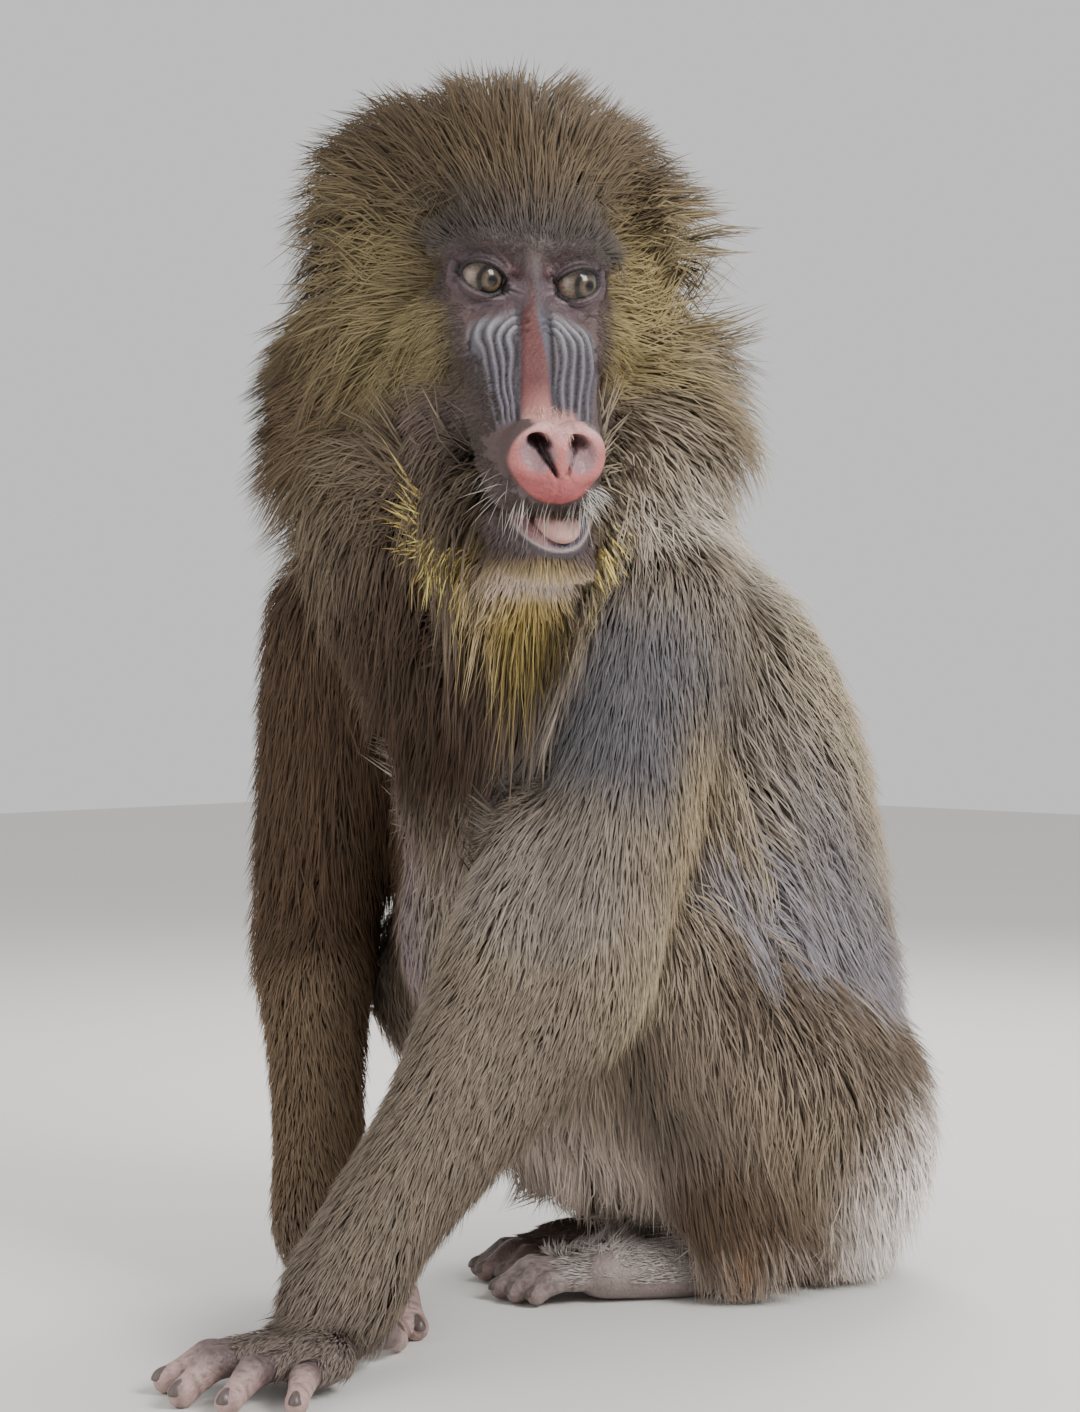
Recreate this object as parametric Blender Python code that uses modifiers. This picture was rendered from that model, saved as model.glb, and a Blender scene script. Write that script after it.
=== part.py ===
"""A young mandrill, life size, sitting on the floor with both hands planted in front of it.

Metres, +Z up. The body faces -Y, and the origin is on the floor under the middle of the model.
Points are laid out as a viewer in front of the animal sees them: across to the right, away
from the viewer, and up. at() turns them into the model's frame. The head is laid out about
the point between its eyes, in a frame of its own.
"""

import math
import random

import bmesh
import bpy
from mathutils import Matrix, Vector
from mathutils.bvhtree import BVHTree

# The frame
MM = 0.001
VIEW_TURN = math.radians(45)  # from the viewer's layout to a body that faces -Y
MIDDLE = (-26, 43)  # across and away, in millimetres: what comes to lie over the origin
GAP = 0.3 * MM  # between two nodes that meet
SLIVERS = (0.09, 0.05, 0.02, 0.005)  # merge distances to try after a union, in millimetres
SWELL = 0.5 * MM  # how far a neighbour is swollen before it cuts, so that GAP is left

# Coat: how much of its depth is in the core of a node. The rest of a long coat is locks; short
# fur has none
LONG_CORE, SHORT_CORE = 0.48, 0.8
SHORT_COATS = ("arm", "forearm", "shin", "hand", "foot")

# The head: where the point between the eyes is, and how the face is turned
EYES_AT = (-4, 0, 518)
HEAD_YAW = math.radians(10)
HEAD_BOW = math.radians(10)
EYE_RADIUS = 11.5
EYE_ACROSS = 24

# Joints, in millimetres as the viewer sees them, and the flesh's half thickness there
SHOULDER_L, ELBOW_L, WRIST_L = (58, 18, 350), (24, -40, 172), (-96, -130, 40)
SHOULDER_R, ELBOW_R, WRIST_R = (-98, 86, 350), (-118, 108, 178), (-112, 2, 42)
HIP_L, KNEE_L, ANKLE_L = (146, 102, 74), (58, 14, 186), (98, 46, 34)
HIP_R, KNEE_R, ANKLE_R = (98, 160, 72), (-58, 122, 160), (72, 132, 34)
TAIL_ROOT, TAIL_TIP = (148, 158, 112), (176, 184, 184)

# Coat depth beyond the flesh, in millimetres
COAT = {
    "neck": 40, "chest": 30, "abdomen": 32, "arm": 14, "forearm": 14, "hand": 1,
    "thigh": 26, "shin": 18, "foot": 2, "tail": 12, "ruff": 62, "crown": 40, "crest": 40, "beard": 34,
}


def at(across, away, up):
    """A point of the viewer's layout, in millimetres, in the model's frame."""
    turn = Matrix.Rotation(VIEW_TURN, 3, "Z")
    return turn @ Vector((across - MIDDLE[0], away - MIDDLE[1], up)) * MM


HEAD = (
    Matrix.Translation(at(*EYES_AT))
    @ Matrix.Rotation(VIEW_TURN + HEAD_YAW, 4, "Z")
    @ Matrix.Rotation(HEAD_BOW, 4, "X")
)
HEAD_TURN = HEAD.to_3x3()


def on_head(left, back, up):
    """A point of the head's own layout, in millimetres about the point between the eyes."""
    return HEAD @ (Vector((left, back, up)) * MM)


def facing(degrees):
    """The turn of a body section that faces so far to the viewer's left of the viewer."""
    return Matrix.Rotation(VIEW_TURN - math.radians(degrees), 3, "Z")


# Clay: ellipsoids and the hulls over them, smoothed into one surface

def unit_ball():
    shape = bmesh.new()
    bmesh.ops.create_icosphere(shape, subdivisions=2, radius=1)
    points = [v.co.copy() for v in shape.verts]
    shape.free()
    return points


BALL = unit_ball()


def ball(centre, radii, turn=None):
    """The surface points of an ellipsoid. radii in millimetres is one number or three."""
    radii = (radii,) * 3 if isinstance(radii, (int, float)) else radii
    turn = turn or Matrix.Identity(3)
    return [centre + turn @ Vector([p[i] * radii[i] * MM for i in range(3)]) for p in BALL]


class Clay:
    """Overlapping solids that are then remeshed into one smooth closed body."""

    def __init__(self):
        self.shape = bmesh.new()

    def hull(self, *balls):
        """Adds the hull over one or more ellipsoids."""
        points = [self.shape.verts.new(p) for one in balls for p in one]
        made = bmesh.ops.convex_hull(self.shape, input=points)
        loose = made["geom_interior"] + made["geom_unused"]
        loose = {g for g in loose if isinstance(g, bmesh.types.BMVert)}
        bmesh.ops.delete(self.shape, geom=list(loose), context="VERTS")

    def chain(self, *balls):
        """Adds the hull over each ellipsoid and the next."""
        for a, b in zip(balls, balls[1:]):
            self.hull(a, b)

    def finish(self, name, voxel, rounds, triangles):
        """One smooth closed mesh object of about that many triangles."""
        mesh = bpy.data.meshes.new(name)
        self.shape.to_mesh(mesh)
        self.shape.free()
        obj = bpy.data.objects.new(name, mesh)
        bpy.context.scene.collection.objects.link(obj)
        remesh = obj.modifiers.new("One surface", "REMESH")
        remesh.mode = "VOXEL"
        remesh.voxel_size = voxel * MM
        smooth = obj.modifiers.new("Smooth", "SMOOTH")
        smooth.iterations = rounds
        smooth.factor = 0.5
        apply_modifiers(obj)
        thin = obj.modifiers.new("Thin out", "DECIMATE")
        thin.ratio = min(1.0, triangles / (2 * len(obj.data.polygons)))
        thin.use_collapse_triangulate = True
        apply_modifiers(obj)
        return obj


def apply_modifiers(obj):
    graph = bpy.context.evaluated_depsgraph_get()
    made = bpy.data.meshes.new_from_object(obj.evaluated_get(graph))
    old = obj.data
    obj.modifiers.clear()
    obj.data = made
    bpy.data.meshes.remove(old)


def copy_of(obj, name):
    other = bpy.data.objects.new(name, obj.data.copy())
    bpy.context.scene.collection.objects.link(other)
    return other


def half(obj, name, point, normal, gap=GAP):
    """The part of a closed body on the side of a plane that normal points to, less half the gap."""
    other = copy_of(obj, name)
    shape = bmesh.new()
    shape.from_mesh(other.data)
    normal = normal.normalized()
    bmesh.ops.bisect_plane(
        shape,
        geom=shape.verts[:] + shape.edges[:] + shape.faces[:],
        dist=1e-7,
        plane_co=point + normal * gap / 2,
        plane_no=normal,
        clear_inner=True,
    )
    rim = [e for e in shape.edges if e.is_boundary]
    bmesh.ops.holes_fill(shape, edges=rim, sides=0)
    bmesh.ops.triangulate(shape, faces=[f for f in shape.faces if len(f.verts) > 3])
    shape.to_mesh(other.data)
    shape.free()
    keep_largest(other)
    return other


def split(obj, near, far, point, normal):
    """Parts a body at a plane into the half before it, named near, and the half beyond it, named far."""
    first = half(obj, near, point, -normal)
    second = half(obj, far, point, normal)
    bpy.data.objects.remove(obj)
    first.name, second.name = near, far
    return first, second


def islands(shape):
    left = set(shape.faces)
    found = []
    while left:
        seed = left.pop()
        group, edge = [seed], [seed]
        while edge:
            for e in edge.pop().edges:
                for f in e.link_faces:
                    if f in left:
                        left.remove(f)
                        group.append(f)
                        edge.append(f)
        found.append(group)
    return found


def keep_largest(obj):
    """Keeps only the closed surface with the most faces' area."""
    shape = bmesh.new()
    shape.from_mesh(obj.data)
    groups = islands(shape)
    if len(groups) > 1:
        groups.sort(key=lambda g: -sum(f.calc_area() for f in g))
        bmesh.ops.delete(shape, geom=[f for g in groups[1:] for f in g], context="FACES")
        shape.to_mesh(obj.data)
    shape.free()


def boolean(obj, others, operation, solver="MANIFOLD"):
    """Joins or cuts obj with closed mesh objects, and applies it."""
    group = bpy.data.collections.new("cutters")
    bpy.context.scene.collection.children.link(group)
    for other in others:
        group.objects.link(other)
    tool = obj.modifiers.new("Boolean", "BOOLEAN")
    tool.operation = operation
    tool.operand_type = "COLLECTION"
    tool.collection = group
    tool.solver = solver
    apply_modifiers(obj)
    bpy.data.collections.remove(group)
    keep_largest(obj)


def drop_slivers(obj):
    """Merges the points that a union leaves almost on one another, as far as the body stays closed."""
    for distance in SLIVERS:
        shape = bmesh.new()
        shape.from_mesh(obj.data)
        bmesh.ops.remove_doubles(shape, verts=shape.verts, dist=distance * MM)
        bmesh.ops.dissolve_degenerate(shape, edges=shape.edges, dist=distance * MM)
        bmesh.ops.triangulate(shape, faces=shape.faces)
        closed = all(e.is_manifold for e in shape.edges) and all(v.is_manifold for v in shape.verts)
        if closed:
            shape.to_mesh(obj.data)
        shape.free()
        if closed:
            return


def swollen(obj):
    """A copy of a body, a little larger all over, to cut its neighbour with."""
    other = copy_of(obj, "swollen")
    shape = bmesh.new()
    shape.from_mesh(other.data)
    shape.normal_update()
    for v in shape.verts:
        v.co += v.normal * SWELL * min(2.0, v.calc_shell_factor())
    shape.to_mesh(other.data)
    shape.free()
    return other


def clear_of(obj, *neighbours):
    """Cuts obj clear of each neighbour, one at a time."""
    for neighbour in neighbours:
        cutter = swollen(neighbour)
        boolean(obj, [cutter], "DIFFERENCE")
        bpy.data.objects.remove(cutter)


def stand_on_floor(obj):
    """Cuts off what is below the floor, which leaves a small flat."""
    name = obj.name
    made = half(obj, "cut", Vector((0, 0, 0)), Vector((0, 0, 1)), gap=0)
    bpy.data.objects.remove(obj)
    made.name = name
    return made


def core(kind):
    """The depth of a coat that belongs to the core, in millimetres."""
    return COAT[kind] * (SHORT_CORE if kind in SHORT_COATS else LONG_CORE)


def grown(radii, kind):
    radii = (radii,) * 3 if isinstance(radii, (int, float)) else radii
    return tuple(r + core(kind) for r in radii)


def between(a, b, share):
    return tuple(a[i] + (b[i] - a[i]) * share for i in range(3))


# Torso: sections from the shoulders to the seat as (centre, half width, depth and height, facing)
CHEST_SECTIONS = (
    ((-14, 50, 352), (84, 52, 44), 28),
    ((46, 70, 322), (78, 68, 58), 35),
    ((58, 84, 262), (84, 90, 60), 40),
    ((60, 94, 196), (90, 102, 55), 45),
)
BELLY_SECTIONS = (
    ((60, 94, 196), (90, 102, 55), 45),
    ((76, 106, 130), (78, 98, 55), 48),
    ((100, 126, 66), (66, 70, 64), 50),
)
NECK_SECTIONS = (
    ((-12, 58, 372), (96, 62, 30)),
    ((-14, 64, 410), (92, 56, 34)),
    ((-16, 74, 455), (76, 46, 36)),
)
WAIST = ((98, 100, 205), (-0.45, -0.35, 0.82))
NECK_BASE = ((-6, 60, 402), (-0.15, 0.05, 1.0))


def make_torso():
    clay = Clay()
    chest = [ball(at(*c), grown(r, "chest"), facing(f)) for c, r, f in CHEST_SECTIONS]
    belly = [ball(at(*c), grown(r, "abdomen"), facing(f)) for c, r, f in BELLY_SECTIONS]
    neck = [ball(at(*c), grown(r, "neck"), facing(12)) for c, r in NECK_SECTIONS]
    clay.chain(*chest)
    clay.chain(*belly)
    clay.chain(*neck)
    for joint in (SHOULDER_L, SHOULDER_R):
        clay.hull(ball(at(*joint), grown(36, "arm")), ball(at(*CHEST_SECTIONS[0][0]), 40))
    whole = clay.finish("torso", 7, 6, 720)
    whole, neck = split(whole, "rest", "neck", at(*NECK_BASE[0]), turned(NECK_BASE[1]))
    abdomen, chest = split(whole, "abdomen", "chest", at(*WAIST[0]), turned(WAIST[1]))
    return chest, stand_on_floor(abdomen), above_nape(neck, -1)


def turned(direction):
    """A direction of the viewer's layout, in the model's frame."""
    return Matrix.Rotation(VIEW_TURN, 3, "Z") @ Vector(direction)


# Arms and hands

FINGERS_L = (  # knuckle, middle joint, tip, and half thickness
    ((-126, -139, 15), (-150, -148, 15), (-168, -158, 6), 7.5),
    ((-124, -152, 16), (-146, -169, 16), (-158, -183, 6), 7.8),
    ((-113, -162, 15), (-127, -181, 15), (-136, -198, 6), 7.5),
    ((-99, -166, 13), (-104, -184, 13), (-106, -201, 6), 6.8),
    ((-82, -112, 14), (-72, -96, 12), (-68, -80, 6), 7.0),
)
FINGERS_R = (
    ((-94, -36, 15), (-90, -55, 15), (-87, -72, 6), 6.8),
    ((-85, -29, 16), (-75, -48, 16), (-69, -66, 6), 7.5),
    ((-76, -19, 16), (-62, -36, 16), (-53, -51, 6), 7.8),
    ((-71, -6, 15), (-54, -17, 15), (-43, -28, 6), 7.5),
    ((-88, 18, 14), (-76, 32, 12), (-70, 46, 6), 7.0),
)


def make_arm(side, shoulder, elbow, wrist, palm, fingers):
    """The upper arm, forearm and hand of one side."""
    clay = Clay()
    clay.chain(
        ball(at(*shoulder), grown(36, "arm")),
        ball(at(*between(shoulder, elbow, 0.45)), grown(31, "arm")),
        ball(at(*elbow), grown(25, "arm")),
    )
    clay.chain(
        ball(at(*elbow), grown(25, "forearm")),
        ball(at(*between(elbow, wrist, 0.3)), grown(27, "forearm")),
        ball(at(*between(elbow, wrist, 0.85)), grown(18, "forearm")),
        ball(at(*wrist), 18),
    )
    upper = clay.finish("arm", 5, 5, 380)
    bend = (at(*elbow) - at(*shoulder)).normalized() + (at(*wrist) - at(*elbow)).normalized()
    upper, lower = split(upper, "upper_arm_" + side, "forearm_" + side, at(*elbow), bend)
    upper = trimmed(upper, at(*between(shoulder, elbow, 0.2)), at(*elbow) - at(*shoulder))
    reach = at(*wrist) - at(*elbow)
    wrist_cut = at(*between(elbow, wrist, 0.93))
    lower = trimmed(lower, wrist_cut, -reach)

    clay = Clay()
    clay.chain(ball(at(*between(elbow, wrist, 0.8)), 18), ball(at(*wrist), (19, 19, 16)), *[
        ball(at(*centre), (radius, radius, 11)) for centre, radius in palm
    ])
    for knuckle, middle, tip, radius in fingers:
        root = at(*palm[0][0])
        bones = ((knuckle, radius + 1), (middle, radius), (tip, radius - 0.8))
        clay.chain(ball(root, 10), *[ball(at(*place), thick) for place, thick in bones])
    hand = clay.finish("hand", 2.6, 2, 500)
    hand = trimmed(hand, wrist_cut, reach)
    hand.name = "hand_" + side
    return upper, lower, stand_on_floor(hand)


def trimmed(obj, point, normal):
    """Keeps the side of the plane that normal points to, under the same name."""
    name = obj.name
    made = half(obj, "cut", point, normal)
    bpy.data.objects.remove(obj)
    made.name = name
    return made


# Legs and feet

TOES_L = (
    ((18, 26, 13), (6, 21, 12), (-2, 18, 6), 6.5),
    ((14, 34, 15), (0, 29, 14), (-12, 26, 6), 7.0),
    ((12, 43, 16), (-6, 39, 15), (-20, 36, 6), 7.2),
    ((14, 52, 15), (-4, 50, 14), (-16, 48, 6), 7.0),
    ((46, 66, 14), (32, 76, 13), (20, 80, 7), 8.0),
)
TOES_R = (
    ((-10, 112, 13), (-26, 108, 12), (-38, 104, 6), 6.5),
    ((-8, 102, 15), (-28, 96, 14), (-42, 91, 6), 7.0),
    ((-4, 93, 16), (-24, 85, 15), (-38, 79, 6), 7.2),
    ((2, 85, 15), (-16, 76, 14), (-28, 70, 6), 7.0),
    ((26, 88, 14), (8, 76, 13), (-6, 66, 7), 8.0),
)


def make_leg(side, hip, knee, ankle, heel, sole, toes):
    """The thigh, shin and foot of one side."""
    clay = Clay()
    clay.chain(
        ball(at(*hip), grown((38, 42, 52), "thigh")),
        ball(at(*between(hip, knee, 0.5)), grown(42, "thigh")),
        ball(at(*knee), grown(27, "thigh")),
    )
    thigh = clay.finish("thigh_" + side, 6, 5, 260)
    clay = Clay()
    clay.chain(
        ball(at(*knee), grown(27, "shin")),
        ball(at(*between(knee, ankle, 0.35)), grown(26, "shin")),
        ball(at(*between(knee, ankle, 0.8)), grown(16, "shin")),
        ball(at(*ankle), 17),
    )
    shin = clay.finish("shin_" + side, 5, 4, 200)
    shin_way = at(*ankle) - at(*knee)
    ankle_cut = at(*between(knee, ankle, 0.93))
    shin = trimmed(shin, ankle_cut, -shin_way)

    clay = Clay()
    clay.chain(
        ball(at(*between(knee, ankle, 0.8)), 16), ball(at(*ankle), 17), ball(at(*heel), (16, 14, 14))
    )
    clay.chain(
        ball(at(*heel), (16, 14, 13)),
        *[ball(at(*centre), (radius, radius, height)) for centre, radius, height in sole],
    )
    for root, middle, tip, radius in toes:
        start = at(*sole[-1][0]) if root != toes[-1][0] else at(*sole[0][0])
        bones = ((root, radius + 1), (middle, radius), (tip, radius - 0.8))
        clay.chain(ball(start, 10), *[ball(at(*place), thick) for place, thick in bones])
    foot = clay.finish("foot", 2.6, 2, 400)
    foot = trimmed(foot, ankle_cut, shin_way)
    foot.name = "foot_" + side
    return thigh, shin, stand_on_floor(foot)


# Head

MUZZLE = (  # centre and half sizes: below the eyes, half way, and behind the nose
    ((0, 6, -26), (33, 28, 28)),
    ((0, -32, -54), (33, 27, 28)),
    ((0, -60, -82), (31, 24, 26)),
)
NOSE_PAD = ((0, -86, -80), (25, 12, 22))
UPPER_LIP = ((0, -72, -98), (28, 17, 11))
MOUTH_CORNER = (-22, -101)  # back and up
MOUTH_OPEN = (-112, -106, -122)  # how far forward the wedge reaches, and its top and foot there
RUFF = ((0, 58, -40), (64, 34, 62))
NAPE = ((0, -20, -152), (0, -110, 130))  # a point of the cut from chin to nape, and the way to the head
EARS_AT = (66, 74, 4)


def make_head():
    clay = Clay()
    put = lambda centre, radii: ball(on_head(*centre), radii, HEAD_TURN)
    clay.hull(put((0, 62, 16), (46, 60, 42)))
    clay.chain(*[put(c, r) for c, r in MUZZLE])
    clay.hull(put((0, 62, 0), (40, 40, 40)), put((0, 14, -24), (34, 26, 30)))
    clay.hull(put((-27, 2, 17), (10, 10, 8)), put((27, 2, 17), (10, 10, 8)))
    clay.hull(put((0, 20, 26), (30, 18, 18)), put((0, 0, 18), (12, 9, 9)))
    clay.hull(put((0, -7, 4), (7, 8, 8)), put((0, -70, -60), (9, 10, 9)))
    for s in (-1, 1):
        clay.hull(put((s * 25, 7, -1), (19, 19, 18)))
        clay.hull(put((s * 33, 14, -18), (15, 17, 15)), put((s * 30, -10, -36), (11, 14, 13)))
        clay.hull(put((s * 18, -14, -22), (12, 12, 12)), put((s * 19, -60, -64), (11, 11, 12)))
        clay.hull(put((s * 34, 36, -52), (20, 32, 36)), put((s * 24, -6, -62), (14, 24, 28)))
    clay.hull(put(*NOSE_PAD))
    clay.hull(put(*UPPER_LIP))
    head_core(clay, put)
    return above_nape(clay.finish("head", 3, 3, 1300))


def above_nape(obj, side=1):
    """Keeps the head's side of the cut from the chin to the nape, or with -1 the neck's."""
    return trimmed(obj, on_head(*NAPE[0]), HEAD_TURN @ Vector(NAPE[1]) * side)


def head_core(clay, put):
    """The part of the mane, crown and cheek ruff that belongs to the core."""
    side, up, top = core("ruff"), core("crown"), core("crown")
    clay.hull(
        put(RUFF[0], (RUFF[1][0] + side, RUFF[1][1] + 0.4 * side, RUFF[1][2] + 0.6 * side)),
        put((0, 66, 22), (48 + 0.8 * side, 50 + 0.5 * up, 42 + top)),
    )


def make_jaw(head):
    clay = Clay()
    put = lambda centre, radii: ball(on_head(*centre), radii, HEAD_TURN)
    deep = core("beard")
    clay.chain(
        put((0, -62, -127), (20, 15, 10)),
        put((0, -30, -118), (27, 22, 16)),
        put((0, 16, -104), (34, 26, 22)),
    )
    clay.chain(
        put((0, -48, -140), (20, 16, 8 + 0.5 * deep)),
        put((0, -18, -146), (28, 24, 10 + deep)),
        put((0, 14, -124), (32, 22, 10 + deep)),
    )
    clay.hull(
        put((0, -36, -142), (24 + 0.2 * deep, 16, 10)),
        put((0, -30, -144 - deep), (18 + 0.3 * deep, 14, 22)),
    )
    jaw = above_nape(clay.finish("jaw", 3, 3, 340))
    wedge = mouth_wedge()
    boolean(jaw, [wedge], "DIFFERENCE")
    boolean(head, [wedge], "DIFFERENCE")
    bpy.data.objects.remove(wedge)
    return jaw


def prism(name, outline, half_width):
    """A solid that has this outline of (back, up) points in the head's middle plane."""
    shape = bmesh.new()
    points = [shape.verts.new((-half_width, back, up)) for back, up in outline]
    face = shape.faces.new(points)
    made = bmesh.ops.extrude_face_region(shape, geom=[face])
    moved = [g for g in made["geom"] if isinstance(g, bmesh.types.BMVert)]
    bmesh.ops.translate(shape, verts=moved, vec=(2 * half_width, 0, 0))
    bmesh.ops.recalc_face_normals(shape, faces=shape.faces)
    bmesh.ops.triangulate(shape, faces=shape.faces)
    bmesh.ops.scale(shape, verts=shape.verts, vec=(MM, MM, MM))
    bmesh.ops.transform(shape, verts=shape.verts, matrix=HEAD)
    mesh = bpy.data.meshes.new(name)
    shape.to_mesh(mesh)
    shape.free()
    obj = bpy.data.objects.new(name, mesh)
    bpy.context.scene.collection.objects.link(obj)
    return obj


def mouth_wedge():
    front, top, foot = MOUTH_OPEN
    back, level = MOUTH_CORNER
    return prism("mouth", ((back, level), (front, foot), (front, top)), 60)


def solid_ball(name, centre, radii, turn=HEAD_TURN, rings=16):
    """An ellipsoid of its own, laid out on the head."""
    shape = bmesh.new()
    size = Matrix.Diagonal((*[r * MM for r in radii], 1))
    place = Matrix.Translation(on_head(*centre)) @ turn.to_4x4() @ size
    bmesh.ops.create_uvsphere(
        shape, u_segments=rings, v_segments=rings // 2 + 2, radius=1, matrix=place
    )
    mesh = bpy.data.meshes.new(name)
    shape.to_mesh(mesh)
    shape.free()
    obj = bpy.data.objects.new(name, mesh)
    bpy.context.scene.collection.objects.link(obj)
    return obj


def make_eyes(head):
    """The eyeballs, and the sockets and lid openings that they sit in."""
    eyes = []
    for side, s in (("left", 1), ("right", -1)):
        socket = solid_ball("socket", (s * EYE_ACROSS, 0, 0), (EYE_RADIUS + 0.4,) * 3, rings=10)
        opening = solid_ball("opening", (s * EYE_ACROSS, -12, 0), (12, 9, 6.5), rings=12)
        boolean(head, [socket], "DIFFERENCE")
        boolean(head, [opening], "DIFFERENCE")
        bpy.data.objects.remove(socket)
        bpy.data.objects.remove(opening)
        eyes.append(solid_ball("eye_" + side, (s * EYE_ACROSS, 0, 0), (EYE_RADIUS,) * 3, rings=10))
    return eyes


def cut_nostrils(head):
    for s in (-1, 1):
        lean = HEAD_TURN @ Matrix.Rotation(s * math.radians(28), 3, "Y")
        slit = solid_ball("nostril", (s * 8.5, -97, -74), (4.2, 9, 7.5), lean, rings=8)
        boolean(head, [slit], "DIFFERENCE")
        bpy.data.objects.remove(slit)


def make_tongue(head, jaw):
    tongue = solid_ball("tongue", (0, -62, -115), (11, 19, 6.5), rings=12)
    clear_of(tongue, head, jaw)
    return tongue


def make_ears(head):
    """Small round cups, each in a hollow of the coat."""
    ears = []
    for side, s in (("left", 1), ("right", -1)):
        left, back, up = EARS_AT
        tilt = HEAD_TURN @ Matrix.Rotation(s * math.radians(-24), 3, "Z")
        ear = solid_ball("ear_" + side, (s * left, back, up), (19, 15, 20), tilt, rings=12)
        cup = solid_ball("cup", (s * (left + 18), back - 4, up + 1), (11, 10, 14), tilt, rings=8)
        boolean(ear, [cup], "DIFFERENCE")
        bpy.data.objects.remove(cup)
        clear_of(ear, head)
        ears.append(ear)
    return ears


def make_tail():
    clay = Clay()
    root, tip = at(*TAIL_ROOT), at(*TAIL_TIP)
    clay.chain(ball(root, grown(13, "tail")), ball(tip, grown(6, "tail")))
    return clay.finish("tail", 4, 3, 180)


# Locks: flat, tapered forms that bend and lie over one another along the coat

LOCK_RINGS = (0.36, 0.72)  # along a lock, where it bends; 0 is the root and 1 the tip
LOCK_FLAT = 0.34  # thickness of a lock against its width
FREE_COATS = ("beard",)  # these stand or hang free, and the others lie on the body
LOCK_CLEAR = 0.6  # what a lock keeps from other nodes, in millimetres
LOCK_FLOOR = 1.2  # and from the floor
HIDDEN_WITHIN = 7  # no lock grows where another node lies over it as close as this, in millimetres

# For each coat: how far apart the roots are, and a lock's width and length
LOCK_SIZES = {
    "ruff": (37, 46, 82), "beard": (13, 19, 52), "neck": (34, 40, 80), "chest": (40, 44, 88),
    "abdomen": (38, 42, 78), "thigh": (30, 34, 72), "tail": (30, 16, 36), "crest": (28, 35, 58),
}
ROOT_TRIES = 30  # places tried for each square of the spacing
# Where a lock meets another node it is lifted, and then shortened: share of its length, extra
# height and depth of the root in millimetres
LOCK_TRIES = ((1, 0, 5), (1, 5, 5), (0.9, 11, 5), (0.75, 4, 3), (0.5, 0, 2.5))


def make_lock_form():
    """One lock, straight along +Z and one unit long, of three sides: a flat one and a ridge over it."""
    shape = bmesh.new()
    bmesh.ops.create_cone(shape, cap_ends=True, segments=3, radius1=1, radius2=0, depth=1)
    bmesh.ops.remove_doubles(shape, verts=shape.verts, dist=1e-5)
    bmesh.ops.translate(shape, verts=shape.verts, vec=(0, 0, 0.5))
    for ring in LOCK_RINGS:
        everything = shape.verts[:] + shape.edges[:] + shape.faces[:]
        bmesh.ops.bisect_plane(shape, geom=everything, plane_co=(0, 0, ring), plane_no=(0, 0, 1))
    bmesh.ops.triangulate(shape, faces=shape.faces)
    bmesh.ops.recalc_face_normals(shape, faces=shape.faces)
    return shape


def lock_width(share):
    """How wide a lock is, as a share of its full width, so far along it."""
    return (1 - share) ** 0.6 * (0.72 + 0.95 * share)


def lock_places(form, path, across, outward, width):
    """Where the points of the lock form come to lie on a bent path."""
    stations = (0,) + LOCK_RINGS + (1,)
    places = []
    for v in form.verts:
        i = min(range(len(stations)), key=lambda k: abs(stations[k] - v.co.z))
        taper = lock_width(stations[i]) / max(1 - stations[i], 1e-6) if i < len(stations) - 1 else 0
        side = across[i] * v.co.x / math.cos(math.radians(30)) * taper * width / 2
        rise = outward[i] * v.co.y * taper * width / 2 * LOCK_FLAT
        place = path[i] + side + rise
        place.z = max(place.z, (LOCK_FLOOR + 0.6 * (1 + v.co.y)) * MM)
        places.append(place)
    return places


def roots_on(obj, spacing, allowed, draw):
    """Evenly spread places on a body, as (place, normal)."""
    mesh = obj.data
    faces = [(f.area, f) for f in mesh.polygons]
    total = sum(a for a, f in faces)
    tries = int(ROOT_TRIES * total / spacing ** 2)
    found = []
    for pick in draw.choices(faces, weights=[a for a, f in faces], k=tries):
        corners = [mesh.vertices[i].co for i in pick[1].vertices[:3]]
        u, v = sorted((draw.random(), draw.random()))
        place = corners[0] * u + corners[1] * (v - u) + corners[2] * (1 - v)
        if allowed(place, pick[1].normal) and all((place - q).length > spacing for q, n in found):
            found.append((place.copy(), pick[1].normal.copy()))
    return found


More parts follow.
